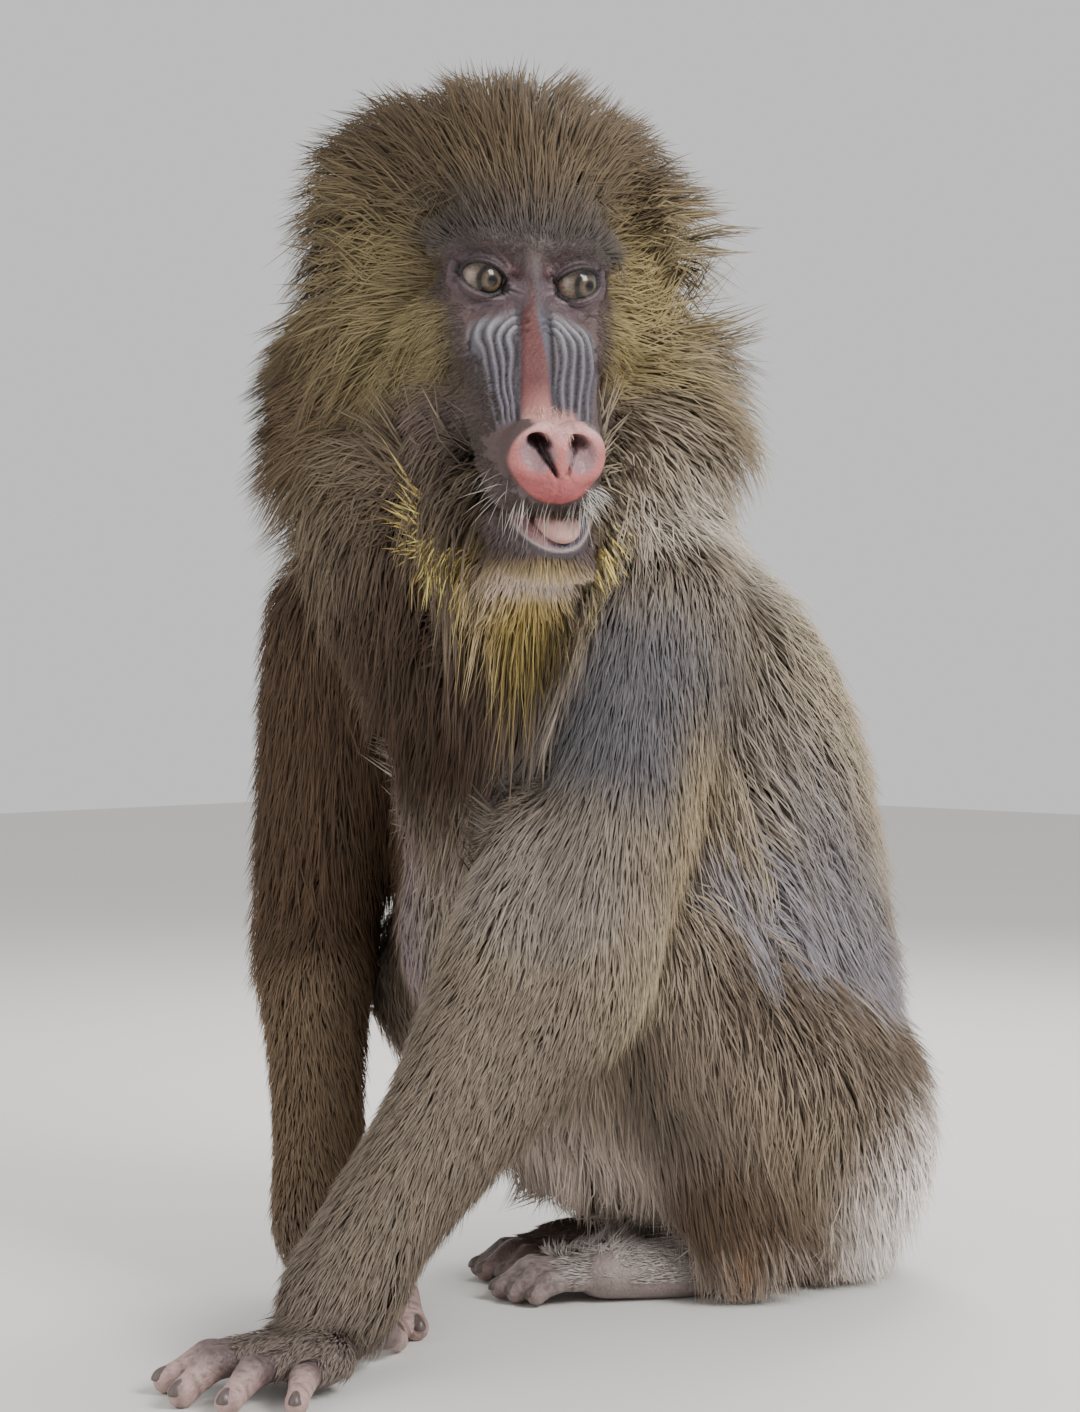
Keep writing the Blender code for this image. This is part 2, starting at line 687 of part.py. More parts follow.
class Coat:
    """The locks of all nodes. Each is laid over the bodies and kept clear of the other nodes."""

    def __init__(self, bodies):
        self.form = make_lock_form()
        self.faces = [[v.index for v in f.verts] for f in self.form.faces]
        self.trees = {o.name: tree_of(o) for o in bodies}
        self.skins = list(self.trees.values())
        self.draw = random.Random(21)

    def skin_near(self, place):
        """The nearest place on any body, and the normal there."""
        hits = [tree.find_nearest(place) for tree in self.skins]
        return min(hits, key=lambda h: h[3])[:2]

    def path_from(self, root, normal, lie, length, height, sink, hangs):
        """The middle line of a lock, and its two cross directions at each of its rings. It lies over
        the bodies, or hangs free of them."""
        stations = (0,) + LOCK_RINGS + (1,)
        here, up = root.copy(), normal.copy()
        path, across, outward = [root - normal * sink * MM], [], []
        gone = 0
        for share in stations[1:]:
            way = lie(here, up)
            way = (way - up * way.dot(up)).normalized()
            here = here + way * (share - gone) * length * MM
            gone = share
            if not hangs:
                here, up = self.skin_near(here)
            lift = height * math.sin(share * math.pi / 2) ** 0.8
            path.append(here + up * lift * MM)
        for i, place in enumerate(path):
            ahead = (path[min(i + 1, len(path) - 1)] - path[max(i - 1, 0)]).normalized()
            base = normal if i == 0 or hangs else path[i] - self.skin_near(path[i])[0]
            side = base.cross(ahead).normalized()
            across.append(side)
            outward.append(ahead.cross(side).normalized())
        return path, across, outward

    def fits(self, name, places):
        """Whether a lock with these points keeps clear of every other node."""
        tree = BVHTree.FromPolygons(places, self.faces)
        return not any(tree.overlap(t) for n, t in self.trees.items() if n != name)

    def is_open(self, name, place, normal):
        """Whether no other node lies close over a place."""
        start = place + normal * 0.1 * MM
        others = [t for n, t in self.trees.items() if n != name]
        return all(t.ray_cast(start, normal, HIDDEN_WITHIN * MM)[0] is None for t in others)

    def lay(self, obj, kind, lie, allowed=lambda place: True):
        """Grows locks of one kind on a node."""
        spacing, width, length = LOCK_SIZES[kind]
        height = COAT[kind] - core(kind)
        made = []
        seen = lambda place, turned_to: allowed(place) and self.is_open(obj.name, place, turned_to)
        for root, normal in roots_on(obj, spacing * MM, seen, self.draw):
            wide = width * self.draw.uniform(0.85, 1.15)
            long = length * self.draw.uniform(0.85, 1.2)
            high = height * self.draw.uniform(0.7, 1.05)
            for share, extra, sink in LOCK_TRIES:
                path, across, outward = self.path_from(
                    root, normal, lie, long * share, high + extra, sink, kind in FREE_COATS
                )
                guard = (wide + 2 * LOCK_CLEAR / LOCK_FLAT) * MM
                clear = lock_places(self.form, path, across, outward, guard)
                if self.fits(obj.name, clear):
                    places = lock_places(self.form, path, across, outward, wide * MM)
                    made.append(self.lock_object(places))
                    break
        boolean(obj, made, "UNION")
        drop_slivers(obj)
        for lock in made:
            bpy.data.objects.remove(lock)
        self.trees[obj.name] = tree_of(obj)

    def lock_object(self, places):
        mesh = bpy.data.meshes.new("lock")
        self.form.to_mesh(mesh)
        for v, place in zip(mesh.vertices, places):
            v.co = place
        obj = bpy.data.objects.new("lock", mesh)
        bpy.context.scene.collection.objects.link(obj)
        return obj


def tree_of(obj):
    shape = bmesh.new()
    shape.from_mesh(obj.data)
    tree = BVHTree.FromBMesh(shape)
    shape.free()
    return tree


def down(place, normal):
    """Hair that hangs."""
    return Vector((0, 0, -1)) + outward_of_body(place) * 0.25


def outward_of_body(place):
    flat = place - at(60, 90, 0)
    flat.z = 0
    return flat.normalized()


def back_and_down(place, normal):
    """Hair of the trunk, which runs to the rump."""
    return Vector((0, 0, -1)) + turned((0.45, 0.35, 0))


def along(start, end, droop=0.25):
    """Hair of a limb, which runs out along it and droops."""
    way = (at(*end) - at(*start)).normalized()
    return lambda place, normal: way + Vector((0, 0, -droop))


def from_face(place, normal):
    """Hair of the head, which runs from the rim of the face up, out and back."""
    left, back, up = HEAD.inverted() @ place / MM
    way = Vector((left * 1.1, 46, (up + 8) * 0.8 - 14))
    return HEAD_TURN @ way.normalized()


def crest_way(place, normal):
    """Hair of the forehead and crown, which runs up and back."""
    left, back, up = HEAD.inverted() @ place / MM
    return HEAD_TURN @ Vector((left * 0.01, 0.5, 0.6)).normalized()


def beard_way(place, normal):
    """Hair of the chin, which fans out as it hangs."""
    left, back, up = HEAD.inverted() @ place / MM
    return HEAD_TURN @ Vector((left * 0.012, -0.25, -1)).normalized()


def on_crest(place):
    """Whether a place of the head is on the forehead or the crown."""
    left, back, up = HEAD.inverted() @ place / MM
    return abs(left) < 42 and up > 27 and back < 40


def off_face(place):
    """Whether a place of the head is in the mane, and not on the bare face, the crest or by an ear."""
    left, back, up = HEAD.inverted() @ place / MM
    by_ear = math.hypot(back - EARS_AT[1], up - EARS_AT[2]) < 24 and abs(left) > 40
    at_side = abs(left) > 46 and back > 14
    return (back > 32 - 0.75 * max(up, 0) or at_side) and not by_ear and not on_crest(place)


def off_floor(place):
    return place.z > 52 * MM


def on_chin(place):
    left, back, up = HEAD.inverted() @ place / MM
    return up < -124 and back > -66


def grow_coat(nodes):
    bodies = list(nodes.values())
    coat = Coat(bodies)
    coat.lay(nodes["tail"], "tail", along(TAIL_ROOT, TAIL_TIP, 0))
    coat.lay(nodes["thigh_left"], "thigh", down, off_floor)
    coat.lay(nodes["thigh_right"], "thigh", down, off_floor)
    coat.lay(nodes["jaw"], "beard", beard_way, on_chin)
    coat.lay(nodes["abdomen"], "abdomen", back_and_down, off_floor)
    coat.lay(nodes["chest"], "chest", back_and_down)
    coat.lay(nodes["neck"], "neck", down)
    coat.lay(nodes["head"], "crest", crest_way, on_crest)
    coat.lay(nodes["head"], "ruff", from_face, off_face)


# Materials: colour, roughness
SLOTS = {
    "coat_olive": ((0.20, 0.17, 0.09), 0.85),
    "coat_grey": ((0.36, 0.33, 0.29), 0.85),
    "skin_grey": ((0.17, 0.15, 0.15), 0.6),
    "eye": ((0.22, 0.15, 0.08), 0.15),
    "tongue": ((0.62, 0.33, 0.29), 0.4),
}
NODE_SLOTS = {
    "head": "coat_olive", "jaw": "coat_olive", "neck": "coat_olive", "chest": "coat_grey",
    "abdomen": "coat_grey", "tail": "coat_grey", "eye": "eye", "ear": "skin_grey",
    "tongue": "tongue", "hand": "skin_grey", "foot": "skin_grey",
}


def paint(obj):
    slot = next((s for n, s in NODE_SLOTS.items() if obj.name.startswith(n)), "coat_olive")
    colour, roughness = SLOTS[slot]
    material = bpy.data.materials.get(slot) or bpy.data.materials.new(slot)
    material.use_nodes = True
    shader = material.node_tree.nodes["Principled BSDF"]
    shader.inputs["Base Color"].default_value = (*colour, 1)
    shader.inputs["Roughness"].default_value = roughness
    shader.inputs["Metallic"].default_value = 0
    obj.data.materials.clear()
    obj.data.materials.append(material)
    obj.data.shade_smooth()


def main():
    for obj in list(bpy.data.objects):
        bpy.data.objects.remove(obj)
    chest, abdomen, neck = make_torso()
    palm_l = (((-102, -138, 17), 15), ((-112, -150, 15), 19), ((-100, -158, 14), 16))
    palm_r = (((-98, -10, 17), 15), ((-86, -18, 15), 19), ((-90, -28, 14), 16))
    arm_l = make_arm("left", SHOULDER_L, ELBOW_L, WRIST_L, palm_l, FINGERS_L)
    arm_r = make_arm("right", SHOULDER_R, ELBOW_R, WRIST_R, palm_r, FINGERS_R)
    sole_l = (((70, 46, 14), 17, 15), ((34, 40, 14), 19, 14))
    sole_r = (((44, 114, 14), 17, 15), ((6, 100, 14), 19, 14))
    leg_l = make_leg("left", HIP_L, KNEE_L, ANKLE_L, (112, 56, 14), sole_l, TOES_L)
    leg_r = make_leg("right", HIP_R, KNEE_R, ANKLE_R, (84, 140, 14), sole_r, TOES_R)
    head = make_head()
    jaw = make_jaw(head)
    eyes = make_eyes(head)
    cut_nostrils(head)
    ears = make_ears(head)
    clear_of(jaw, head)
    tongue = make_tongue(head, jaw)
    tail = make_tail()
    feet = (leg_l[2], leg_r[2])
    clear_of(neck, head, jaw, tongue, *ears)
    clear_of(leg_r[2], leg_l[2])
    for leg in (leg_l, leg_r):
        clear_of(leg[1], *feet)
    clear_of(leg_r[1], leg_l[1])
    clear_of(abdomen, leg_l[1], leg_r[1], *feet)
    clear_of(chest, head, jaw, tongue, leg_l[1], leg_r[1])
    for obj in (*arm_l[:2], *arm_r[:2]):
        clear_of(obj, head, jaw, chest, abdomen, neck, leg_l[1], leg_r[1])
    for leg in (leg_l, leg_r):
        clear_of(leg[0], chest, abdomen, *arm_l, *arm_r, leg_l[1], leg_r[1], *feet)
    clear_of(leg_r[0], leg_l[0])
    clear_of(tail, abdomen)
    grow_coat({obj.name: obj for obj in bpy.context.scene.collection.objects})
    parts = bpy.data.collections.new("mandrill")
    bpy.context.scene.collection.children.link(parts)
    for obj in list(bpy.context.scene.collection.objects):
        bpy.context.scene.collection.objects.unlink(obj)
        parts.objects.link(obj)
        paint(obj)


main()
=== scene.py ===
import math

import bmesh
import bpy
import numpy as np
from mathutils import Matrix, Vector
from mathutils.bvhtree import BVHTree


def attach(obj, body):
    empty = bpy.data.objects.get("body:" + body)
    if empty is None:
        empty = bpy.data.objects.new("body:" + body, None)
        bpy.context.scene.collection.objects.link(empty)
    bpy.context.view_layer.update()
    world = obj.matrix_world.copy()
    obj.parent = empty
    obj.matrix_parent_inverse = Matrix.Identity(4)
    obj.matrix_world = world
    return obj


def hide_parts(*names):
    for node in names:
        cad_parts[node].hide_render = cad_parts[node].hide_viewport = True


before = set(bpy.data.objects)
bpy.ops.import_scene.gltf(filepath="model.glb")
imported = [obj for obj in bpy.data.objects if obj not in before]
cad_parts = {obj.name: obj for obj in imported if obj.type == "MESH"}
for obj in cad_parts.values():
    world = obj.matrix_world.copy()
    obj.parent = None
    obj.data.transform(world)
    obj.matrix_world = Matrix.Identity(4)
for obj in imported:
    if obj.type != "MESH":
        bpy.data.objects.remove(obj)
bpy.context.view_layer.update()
rng = np.random.default_rng(4)
mm = 0.001

# Places are given in millimetres as the viewer sees the animal: across, away and up.
# On the head they are to its left, back and up from the point between the eyes.
layout = {
    "turn": 45, "middle": (-26, 43),
    "eyesAt": (-6, 0, 518), "headYaw": 14, "headBow": 10, "headRoll": 2,
}


def at(across, away, up):
    turn = Matrix.Rotation(math.radians(layout["turn"]), 3, "Z")
    return turn @ Vector((across - layout["middle"][0], away - layout["middle"][1], up)) * mm


headFrame = (
    Matrix.Translation(at(*layout["eyesAt"]))
    @ Matrix.Rotation(math.radians(layout["turn"] + layout["headYaw"]), 4, "Z")
    @ Matrix.Rotation(math.radians(layout["headBow"]), 4, "X")
    @ Matrix.Rotation(math.radians(layout["headRoll"]), 4, "Y")
)
headTurn = headFrame.to_3x3()
turnIn = np.array(Matrix.Rotation(math.radians(layout["turn"]), 3, "Z"))
turnBack = np.array(Matrix.Rotation(-math.radians(layout["turn"]), 3, "Z"))
headToView = np.array(Matrix.Rotation(-math.radians(layout["turn"]), 3, "Z") @ headTurn)


def onHead(left, back, up):
    return headFrame @ (Vector((left, back, up)) * mm)


def facing(degrees):
    return Matrix.Rotation(math.radians(layout["turn"] - degrees), 3, "Z")


def toViewer(points):
    # model places as the viewer's millimetres
    return points @ turnBack.T / mm + np.array([layout["middle"][0], layout["middle"][1], 0])


def fromViewer(points):
    return (points - np.array([layout["middle"][0], layout["middle"][1], 0])) @ turnIn.T * mm


def toHead(points):
    back = np.array(headFrame.inverted())
    return (points @ back[:3, :3].T + back[:3, 3]) / mm


def fromHead(points):
    out = np.array(headFrame)
    return points * mm @ out[:3, :3].T + out[:3, 3]


def srgb(*values):
    c = np.array(values, float) / 255
    return np.where(c <= 0.04045, c / 12.92, ((c + 0.055) / 1.055) ** 2.4)


def smooth(low, high, value):
    t = np.clip((value - low) / (high - low), 0, 1)
    return t * t * (3 - 2 * t)


def band(value, place, wide):
    # 1 at the place, fading to 0 on both sides of it
    return np.exp(-((value - place) / wide) ** 2)


def between(a, b, share):
    return tuple(a[i] + (b[i] - a[i]) * share for i in range(3))


def blend(a, b, share):
    return a * (1 - share) + b * share


def mixed(base, other, amount):
    return blend(base, other, amount[:, None])


def kindOf(name):
    return name.replace("Left", "").replace("Right", "")


# Clay: hulls over ellipsoids, remeshed into one smooth skin
def unitBall():
    shape = bmesh.new()
    bmesh.ops.create_icosphere(shape, subdivisions=3, radius=1)
    points = np.array([v.co for v in shape.verts])
    shape.free()
    return points


ballPoints = unitBall()


def ball(centre, radii, turn=None):
    radii = (radii,) * 3 if isinstance(radii, (int, float)) else radii
    points = ballPoints * np.array(radii) * mm
    if turn is not None:
        points = points @ np.array(turn).T
    return points + np.array(centre)


def headBall(centre, radii):
    return ball(onHead(*centre), radii, headTurn)


def addHull(clay, *balls):
    points = [clay.verts.new(p) for one in balls for p in one]
    made = bmesh.ops.convex_hull(clay, input=points)
    loose = [g for g in made["geom_interior"] + made["geom_unused"] if isinstance(g, bmesh.types.BMVert)]
    bmesh.ops.delete(clay, geom=list(set(loose)), context="VERTS")


def addChain(clay, *balls):
    for pair in zip(balls, balls[1:]) if len(balls) > 1 else [balls]:
        addHull(clay, *pair)


def applied(obj):
    graph = bpy.context.evaluated_depsgraph_get()
    made = bpy.data.meshes.new_from_object(obj.evaluated_get(graph))
    old = obj.data
    obj.modifiers.clear()
    obj.data = made
    bpy.data.meshes.remove(old)
    return obj


def newObject(name, mesh):
    obj = bpy.data.objects.new(name, mesh)
    bpy.context.scene.collection.objects.link(obj)
    return obj


def fromBmesh(name, shape):
    mesh = bpy.data.meshes.new(name)
    shape.to_mesh(mesh)
    shape.free()
    return newObject(name, mesh)


# Voxel size in millimetres and rounds of smoothing
clayLook = {"bodySkin": (7, 5), "headSkin": (2.25, 6), "hand": (2.3, 1), "foot": (2.5, 1), "ear": (1.4, 2)}


def finishClay(clay, name):
    voxel, rounds = clayLook[name]
    obj = fromBmesh(name, clay)
    remesh = obj.modifiers.new("One surface", "REMESH")
    remesh.mode = "VOXEL"
    remesh.voxel_size = voxel * mm
    relax = obj.modifiers.new("Relax", "SMOOTH")
    relax.iterations = rounds
    relax.factor = 0.5
    return applied(obj)


def boolean(obj, others, operation):
    group = bpy.data.collections.new("joined")
    bpy.context.scene.collection.children.link(group)
    for other in others:
        group.objects.link(other)
    tool = obj.modifiers.new("Boolean", "BOOLEAN")
    tool.operation = operation
    tool.operand_type = "COLLECTION"
    tool.collection = group
    tool.solver = "MANIFOLD"
    applied(obj)
    bpy.data.collections.remove(group)
    for other in others:
        bpy.data.objects.remove(other)
    return obj


# The flesh under the coat, centre, size and facing: as large as the solids are without their coat
body = {
    "chest": (
        ((-14, 50, 352), (84, 52, 44), 28),
        ((46, 70, 322), (78, 68, 58), 35),
        ((58, 84, 262), (84, 90, 60), 40),
        ((60, 94, 196), (90, 102, 55), 45),
    ),
    "belly": (
        ((60, 94, 196), (90, 102, 55), 45),
        ((76, 106, 130), (78, 98, 55), 48),
        ((100, 126, 66), (66, 70, 64), 50),
    ),
    "neck": (
        ((-12, 58, 372), (96, 62, 30), 12),
        ((-14, 64, 410), (92, 56, 34), 12),
        ((-16, 74, 455), (76, 46, 36), 12),
    ),
    "bellyFront": (
        ((-34, 84, 296), (42, 40, 34)), ((-20, 86, 262), (54, 48, 40)), ((-14, 96, 192), (58, 54, 50)),
        ((14, 108, 126), (58, 54, 44)),
    ),
    "elbowCrook": (
        ((6, -12, 236), (26, 24, 26)), ((-10, -24, 205), (25, 21, 28)), ((-28, -52, 162), (24, 22, 22)),
        ((-50, -86, 112), (21, 21, 20)), ((-80, -118, 60), (22, 21, 18)), ((-90, -128, 36), (23, 21, 15)),
    ),
}
limbs = {
    "armLeft": ((58, 18, 350), (24, -40, 172), (-96, -130, 40)),
    "armRight": ((-98, 86, 350), (-118, 108, 178), (-112, 2, 42)),
    "legLeft": ((146, 102, 74), (58, 14, 186), (98, 46, 34)),
    "legRight": ((98, 160, 72), (-58, 122, 160), (72, 132, 34)),
    "tail": ((148, 158, 112), (176, 184, 184)),
}
# Shares of the way along each length of a limb, with the radii there
limbSteps = {
    "arm": (((0, 36), (0.45, 31), (1, 25)), ((0, 25), (0.3, 22), (0.85, 18), (1, 18))),
    "leg": (((0, (38, 42, 52)), (0.5, 42), (1, 27)), ((0, 27), (0.35, 26), (0.8, 16), (1, 17))),
    "tail": (((0, 13), (1, 6)),),
}
# Joint, share of the way to the next one, and how much thicker than the digit's own size
digitSteps = ((0, 0, 0.6), (0, 0.55, -0.9), (1, 0, 0.2), (1, 0.6, -1.4), (1, 1, -1.2))
hands = {
    "left": {
        "palm": (((-102, -138, 17), 15), ((-112, -150, 15), 19), ((-100, -158, 14), 16)),
        "fingers": (
            ((-126, -139, 15), (-150, -148, 15), (-168, -158, 6), 7.5),
            ((-124, -152, 16), (-146, -169, 16), (-158, -183, 6), 7.8),
            ((-113, -162, 15), (-127, -181, 15), (-136, -198, 6), 7.5),
            ((-99, -166, 13), (-104, -184, 13), (-106, -201, 6), 6.8),
            ((-82, -112, 14), (-72, -96, 12), (-68, -80, 6), 7.0),
        ),
    },
    "right": {
        "palm": (((-98, -10, 17), 15), ((-86, -18, 15), 19), ((-90, -28, 14), 16)),
        "fingers": (
            ((-94, -36, 15), (-90, -55, 15), (-87, -72, 6), 6.8),
            ((-85, -29, 16), (-75, -48, 16), (-69, -66, 6), 7.5),
            ((-77, -19, 16), (-67, -38, 16), (-60, -54, 6), 7.8),
            ((-74, -6, 15), (-67, -22, 15), (-62, -37, 6), 7.5),
            ((-88, 18, 14), (-76, 32, 12), (-70, 46, 6), 7.0),
        ),
    },
}
feet = {
    "left": {
        "heel": (112, 56, 14),
        "sole": (((70, 46, 14), 17, 15), ((34, 40, 14), 19, 14)),
        "toes": (
            ((18, 26, 13), (6, 21, 12), (-2, 18, 6), 6.5),
            ((14, 34, 15), (0, 29, 14), (-12, 26, 6), 7.0),
            ((12, 43, 16), (-6, 39, 15), (-20, 36, 6), 7.2),
            ((14, 52, 15), (-4, 50, 14), (-16, 48, 6), 7.0),
            ((46, 66, 14), (32, 76, 13), (20, 80, 7), 8.0),
        ),
    },
    "right": {
        "heel": (90, 140, 14),
        "sole": (((52, 114, 14), 17, 15), ((15, 101, 14), 19, 14)),
        "toes": (
            ((0, 112, 13), (-16, 108, 12), (-28, 104, 6), 6.5),
            ((2, 102, 15), (-18, 96, 14), (-32, 91, 6), 7.0),
            ((6, 93, 16), (-14, 85, 15), (-28, 79, 6), 7.2),
            ((12, 85, 15), (-6, 76, 14), (-18, 70, 6), 7.0),
            ((34, 88, 14), (17, 76, 13), (4, 66, 7), 8.0),
        ),
    },
}


def addLimb(clay, name):
    joints = limbs[name]
    for a, b, steps in zip(joints, joints[1:], limbSteps[kindOf(name)]):
        addChain(clay, *[ball(at(*between(a, b, share)), size) for share, size in steps])


def makeBodyClay():
    clay = bmesh.new()
    for part in ("chest", "belly", "neck"):
        addChain(clay, *[ball(at(*c), size, facing(turn)) for c, size, turn in body[part]])
    for name in ("armLeft", "armRight"):
        addHull(clay, ball(at(*limbs[name][0]), 36), ball(at(*body["chest"][0][0]), 40))
        addLimb(clay, name)
    addLimb(clay, "legLeft")
    addLimb(clay, "legRight")
    for bulge in ("bellyFront", "elbowCrook"):
        addChain(clay, *[ball(at(*c), size) for c, size in body[bulge]])
    addLimb(clay, "tail")
    return finishClay(clay, "bodySkin")


def addDigit(clay, start, digit):
    *joints, thick = digit
    addChain(clay, ball(at(*start), 9), ball(at(*joints[0]), thick + 0.6))
    addChain(clay, *[
        ball(at(*between(joints[i], joints[i + 1], share)), thick + more) for i, share, more in digitSteps
    ])


def makeHand(side):
    elbow, wrist = limbs["arm" + side.title()][1:]
    palm = hands[side]["palm"]
    clay = bmesh.new()
    addChain(
        clay, ball(at(*between(elbow, wrist, 0.8)), 18), ball(at(*wrist), (19, 19, 16)),
        *[ball(at(*c), (r, r, 11)) for c, r in palm],
    )
    for finger in hands[side]["fingers"]:
        addDigit(clay, palm[0][0], finger)
    return finishClay(clay, "hand")


def makeFoot(side):
    knee, ankle = limbs["leg" + side.title()][1:]
    foot = feet[side]
    heel, sole = at(*foot["heel"]), foot["sole"]
    clay = bmesh.new()
    addChain(clay, ball(at(*between(knee, ankle, 0.8)), 16), ball(at(*ankle), 17), ball(heel, (16, 14, 14)))
    addChain(clay, ball(heel, (16, 14, 13)), *[ball(at(*c), (r, r, h)) for c, r, h in sole])
    for toe in foot["toes"]:
        addDigit(clay, sole[0 if toe == foot["toes"][-1] else -1][0], toe)
    return finishClay(clay, "foot")


# Chains of ellipsoids, centre and size; those of the sides are made on both, some with a shift
head = {
    "skull": (
        (((0, 62, 16), (46, 60, 42)),),
        (((0, 58, -40), (64, 34, 62)), ((0, 66, 22), (48, 50, 42))),
        (
            ((0, 10, -26), (33, 28, 28)), ((0, -26, -56), (33, 25, 28)), ((0, -54, -80), (31, 22, 25)),
            ((0, -62, -86), (28, 20, 22)),
        ),
        (((0, -3, 6), 8), ((-1, -16, -22), 8.5), ((-3, -38, -45), 9), ((-5, -60, -62), 10)),
        (((0, 62, 0), (40, 40, 40)), ((0, 14, -24), (34, 26, 30))),
        (((0, 20, 26), (30, 18, 18)), ((0, 0, 18), (14, 9, 9))),
    ),
    "sides": (
        (((0, 2, 16), (10, 9, 8)), ((22, 3, 18.5), (11, 9, 8)), ((36, 12, 12), (9, 10, 9))),
        (((24, 7, -1), (18, 18, 17)),),
        (((33, 14, -18), (15, 17, 15)), ((30, -6, -36), (11, 14, 13))),
        (((20, -6, -25), (12, 12, 9)), ((20, -30, -44), (11.5, 12, 12)), ((18, -52, -62, -1), (9, 11, 11))),
        (((34, 36, -52), (20, 32, 36)), ((24, -6, -62), (14, 24, 28))),
        (((11.5, -79, -72.5), (12.5, 12, 12)), ((13, -76, -81), (11.5, 12.5, 12))),
    ),
    "snout": (
        (((0, -83, -74), (9, 12.5, 9)), ((0, -80, -90), (15, 11.5, 12))),
        (((0, -68, -96), (27, 19, 11)),),
        (((3, -60, -126), (22, 20, 11)), ((2, -46, -114), (29, 18, 9))),
        (((3, -58, -127), (21, 17, 11)), ((0, -30, -118), (27, 22, 16)), ((0, 16, -104), (34, 26, 22))),
        (((0, -48, -140), (20, 17, 9)), ((0, -18, -142), (28, 24, 12)), ((0, 14, -124), (32, 22, 14))),
    ),
    # the lower lip hangs in a curve below the tongue
    "mouth": (
        ((-12, -70, -108.5), 1.6), ((25, -68, -108.0), 1.6), ((-13, -96, -109), 2), ((26, -96, -108.5), 2),
        ((-6, -72, -113), 2), ((20, -70, -114), 2), ((-6, -96, -116), 2), ((21, -96, -117), 2),
        ((8, -70, -117), 3), ((8, -98, -121.5), 3), ((11, -44, -109), (9, 3, 2.6)),
    ),
    "ears": {"at": (58, 74, 4), "tall": 21, "thick": 4},
}


def makeHeadClay():
    clay = bmesh.new()
    for key, mirrored in (("skull", (1,)), ("sides", (-1, 1)), ("snout", (1,))):
        for s in mirrored:
            for chain in head[key]:
                addChain(clay, *[
                    headBall((s * x + sum(shift), y, z), size) for (x, y, z, *shift), size in chain
                ])
    skull = finishClay(clay, "headSkin")
    cutter = bmesh.new()
    addHull(cutter, *[headBall(c, size) for c, size in head["mouth"]])
    return boolean(skull, [fromBmesh("mouth", cutter)], "DIFFERENCE")


def makeEarClay(s):
    # a thin cup that stands off the side of the head
    ear = head["ears"]
    left, back, up = ear["at"]
    clay = bmesh.new()
    lean = headTurn @ Matrix.Rotation(s * math.radians(38), 3, "Z")
    addHull(clay, ball(onHead(s * left, back, up), (ear["thick"], 14, ear["tall"]), lean))
    addHull(clay, headBall((s * (left - 12), back - 2, up - 2), (9, 9, 12)))
    obj = finishClay(clay, "ear")
    cup = bmesh.new()
    addHull(cup, ball(onHead(s * (left + 8), back - 8, up + 1), (8, 11, 16), lean))
    return boolean(obj, [fromBmesh("cup", cup)], "DIFFERENCE")


print("clay of the body, head, hands and feet")
pieces = [makeHeadClay(), makeEarClay(1), makeEarClay(-1)]
pieces += [makeHand(side) for side in hands] + [makeFoot(side) for side in feet]
skin = boolean(makeBodyClay(), pieces, "UNION")
skin.name = "skin"


def splitFaces(obj, wanted):
    # splits the faces at the wanted places, so that small forms can be shaped there
    shape = bmesh.new()
    shape.from_mesh(obj.data)
    places = toHead(np.array([f.calc_center_median() for f in shape.faces]))
    edges = {e for f, picked in zip(shape.faces, wanted(places)) if picked for e in f.edges}
    bmesh.ops.subdivide_edges(shape, edges=list(edges), cuts=1, use_grid_fill=True)
    bmesh.ops.triangulate(shape, faces=[f for f in shape.faces if len(f.verts) > 4])
    shape.to_mesh(obj.data)
    shape.free()


def onFace(p):
    return (p[:, 1] < 4) & (np.abs(p[:, 0]) < 41) & (p[:, 2] < 22) & (p[:, 2] > -128)


def byEye(p):
    return (p[:, 1] < 6) & (np.hypot(np.abs(p[:, 0]) - 24, p[:, 2]) < 17)


splitFaces(skin, onFace)
splitFaces(skin, byEye)
print("skin faces", len(skin.data.polygons))


def verticesOf(mesh):
    co = np.empty(len(mesh.vertices) * 3, np.float32)
    mesh.vertices.foreach_get("co", co)
    return co.reshape(-1, 3).astype(float)


def normalsOf(mesh):
    out = np.empty(len(mesh.vertices) * 3, np.float32)
    mesh.vertex_normals.foreach_get("vector", out)
    return out.reshape(-1, 3).astype(float)


def setVertices(mesh, co):
    mesh.vertices.foreach_set("co", co.astype(np.float32).ravel())
    mesh.update()


eyes = {
    "across": 24, "radius": 11.6, "halfWide": 12.6, "up": 7.3, "down": 7.0, "slant": 0.22,
    "lid": 1.2, "rim": 0.5, "lens": 1.9, "gaze": ((17, -2), (27, -1)), "cornea": 0.03, "corneaWide": 33,
    # above or below; where a crease lies, how wide and deep; where the skin rises from it
    "folds": (
        (True, (3.0, 0.6, -0.7), (3.0, 5.5, 0.6)), (True, (5.8, 0.7, -1.1), (5.4, 9, 2.3)),
        (False, (2.6, 0.5, -0.6), (2.6, 4.2, 0.5)), (False, (5.6, 0.7, -0.9), (5.6, 8, 0.7)),
    ),
}


def lidDistance(p, s):
    # millimetres outside the opening of one eye, below 0 within it
    e = eyes
    x = (p[:, 0] - s * e["across"]) * s
    z = p[:, 2] - e["slant"] * x
    share = np.clip(np.abs(x) / e["halfWide"], 0, 1)
    lens = np.sqrt(np.clip(1 - share ** e["lens"], 0, 1))
    edge = np.where(z > 0, e["up"], e["down"]) * lens
    beyond = np.maximum(np.abs(x) - e["halfWide"], 0)
    inside = np.abs(z) - edge
    return np.where(beyond > 0, np.hypot(beyond, np.abs(z)), inside)


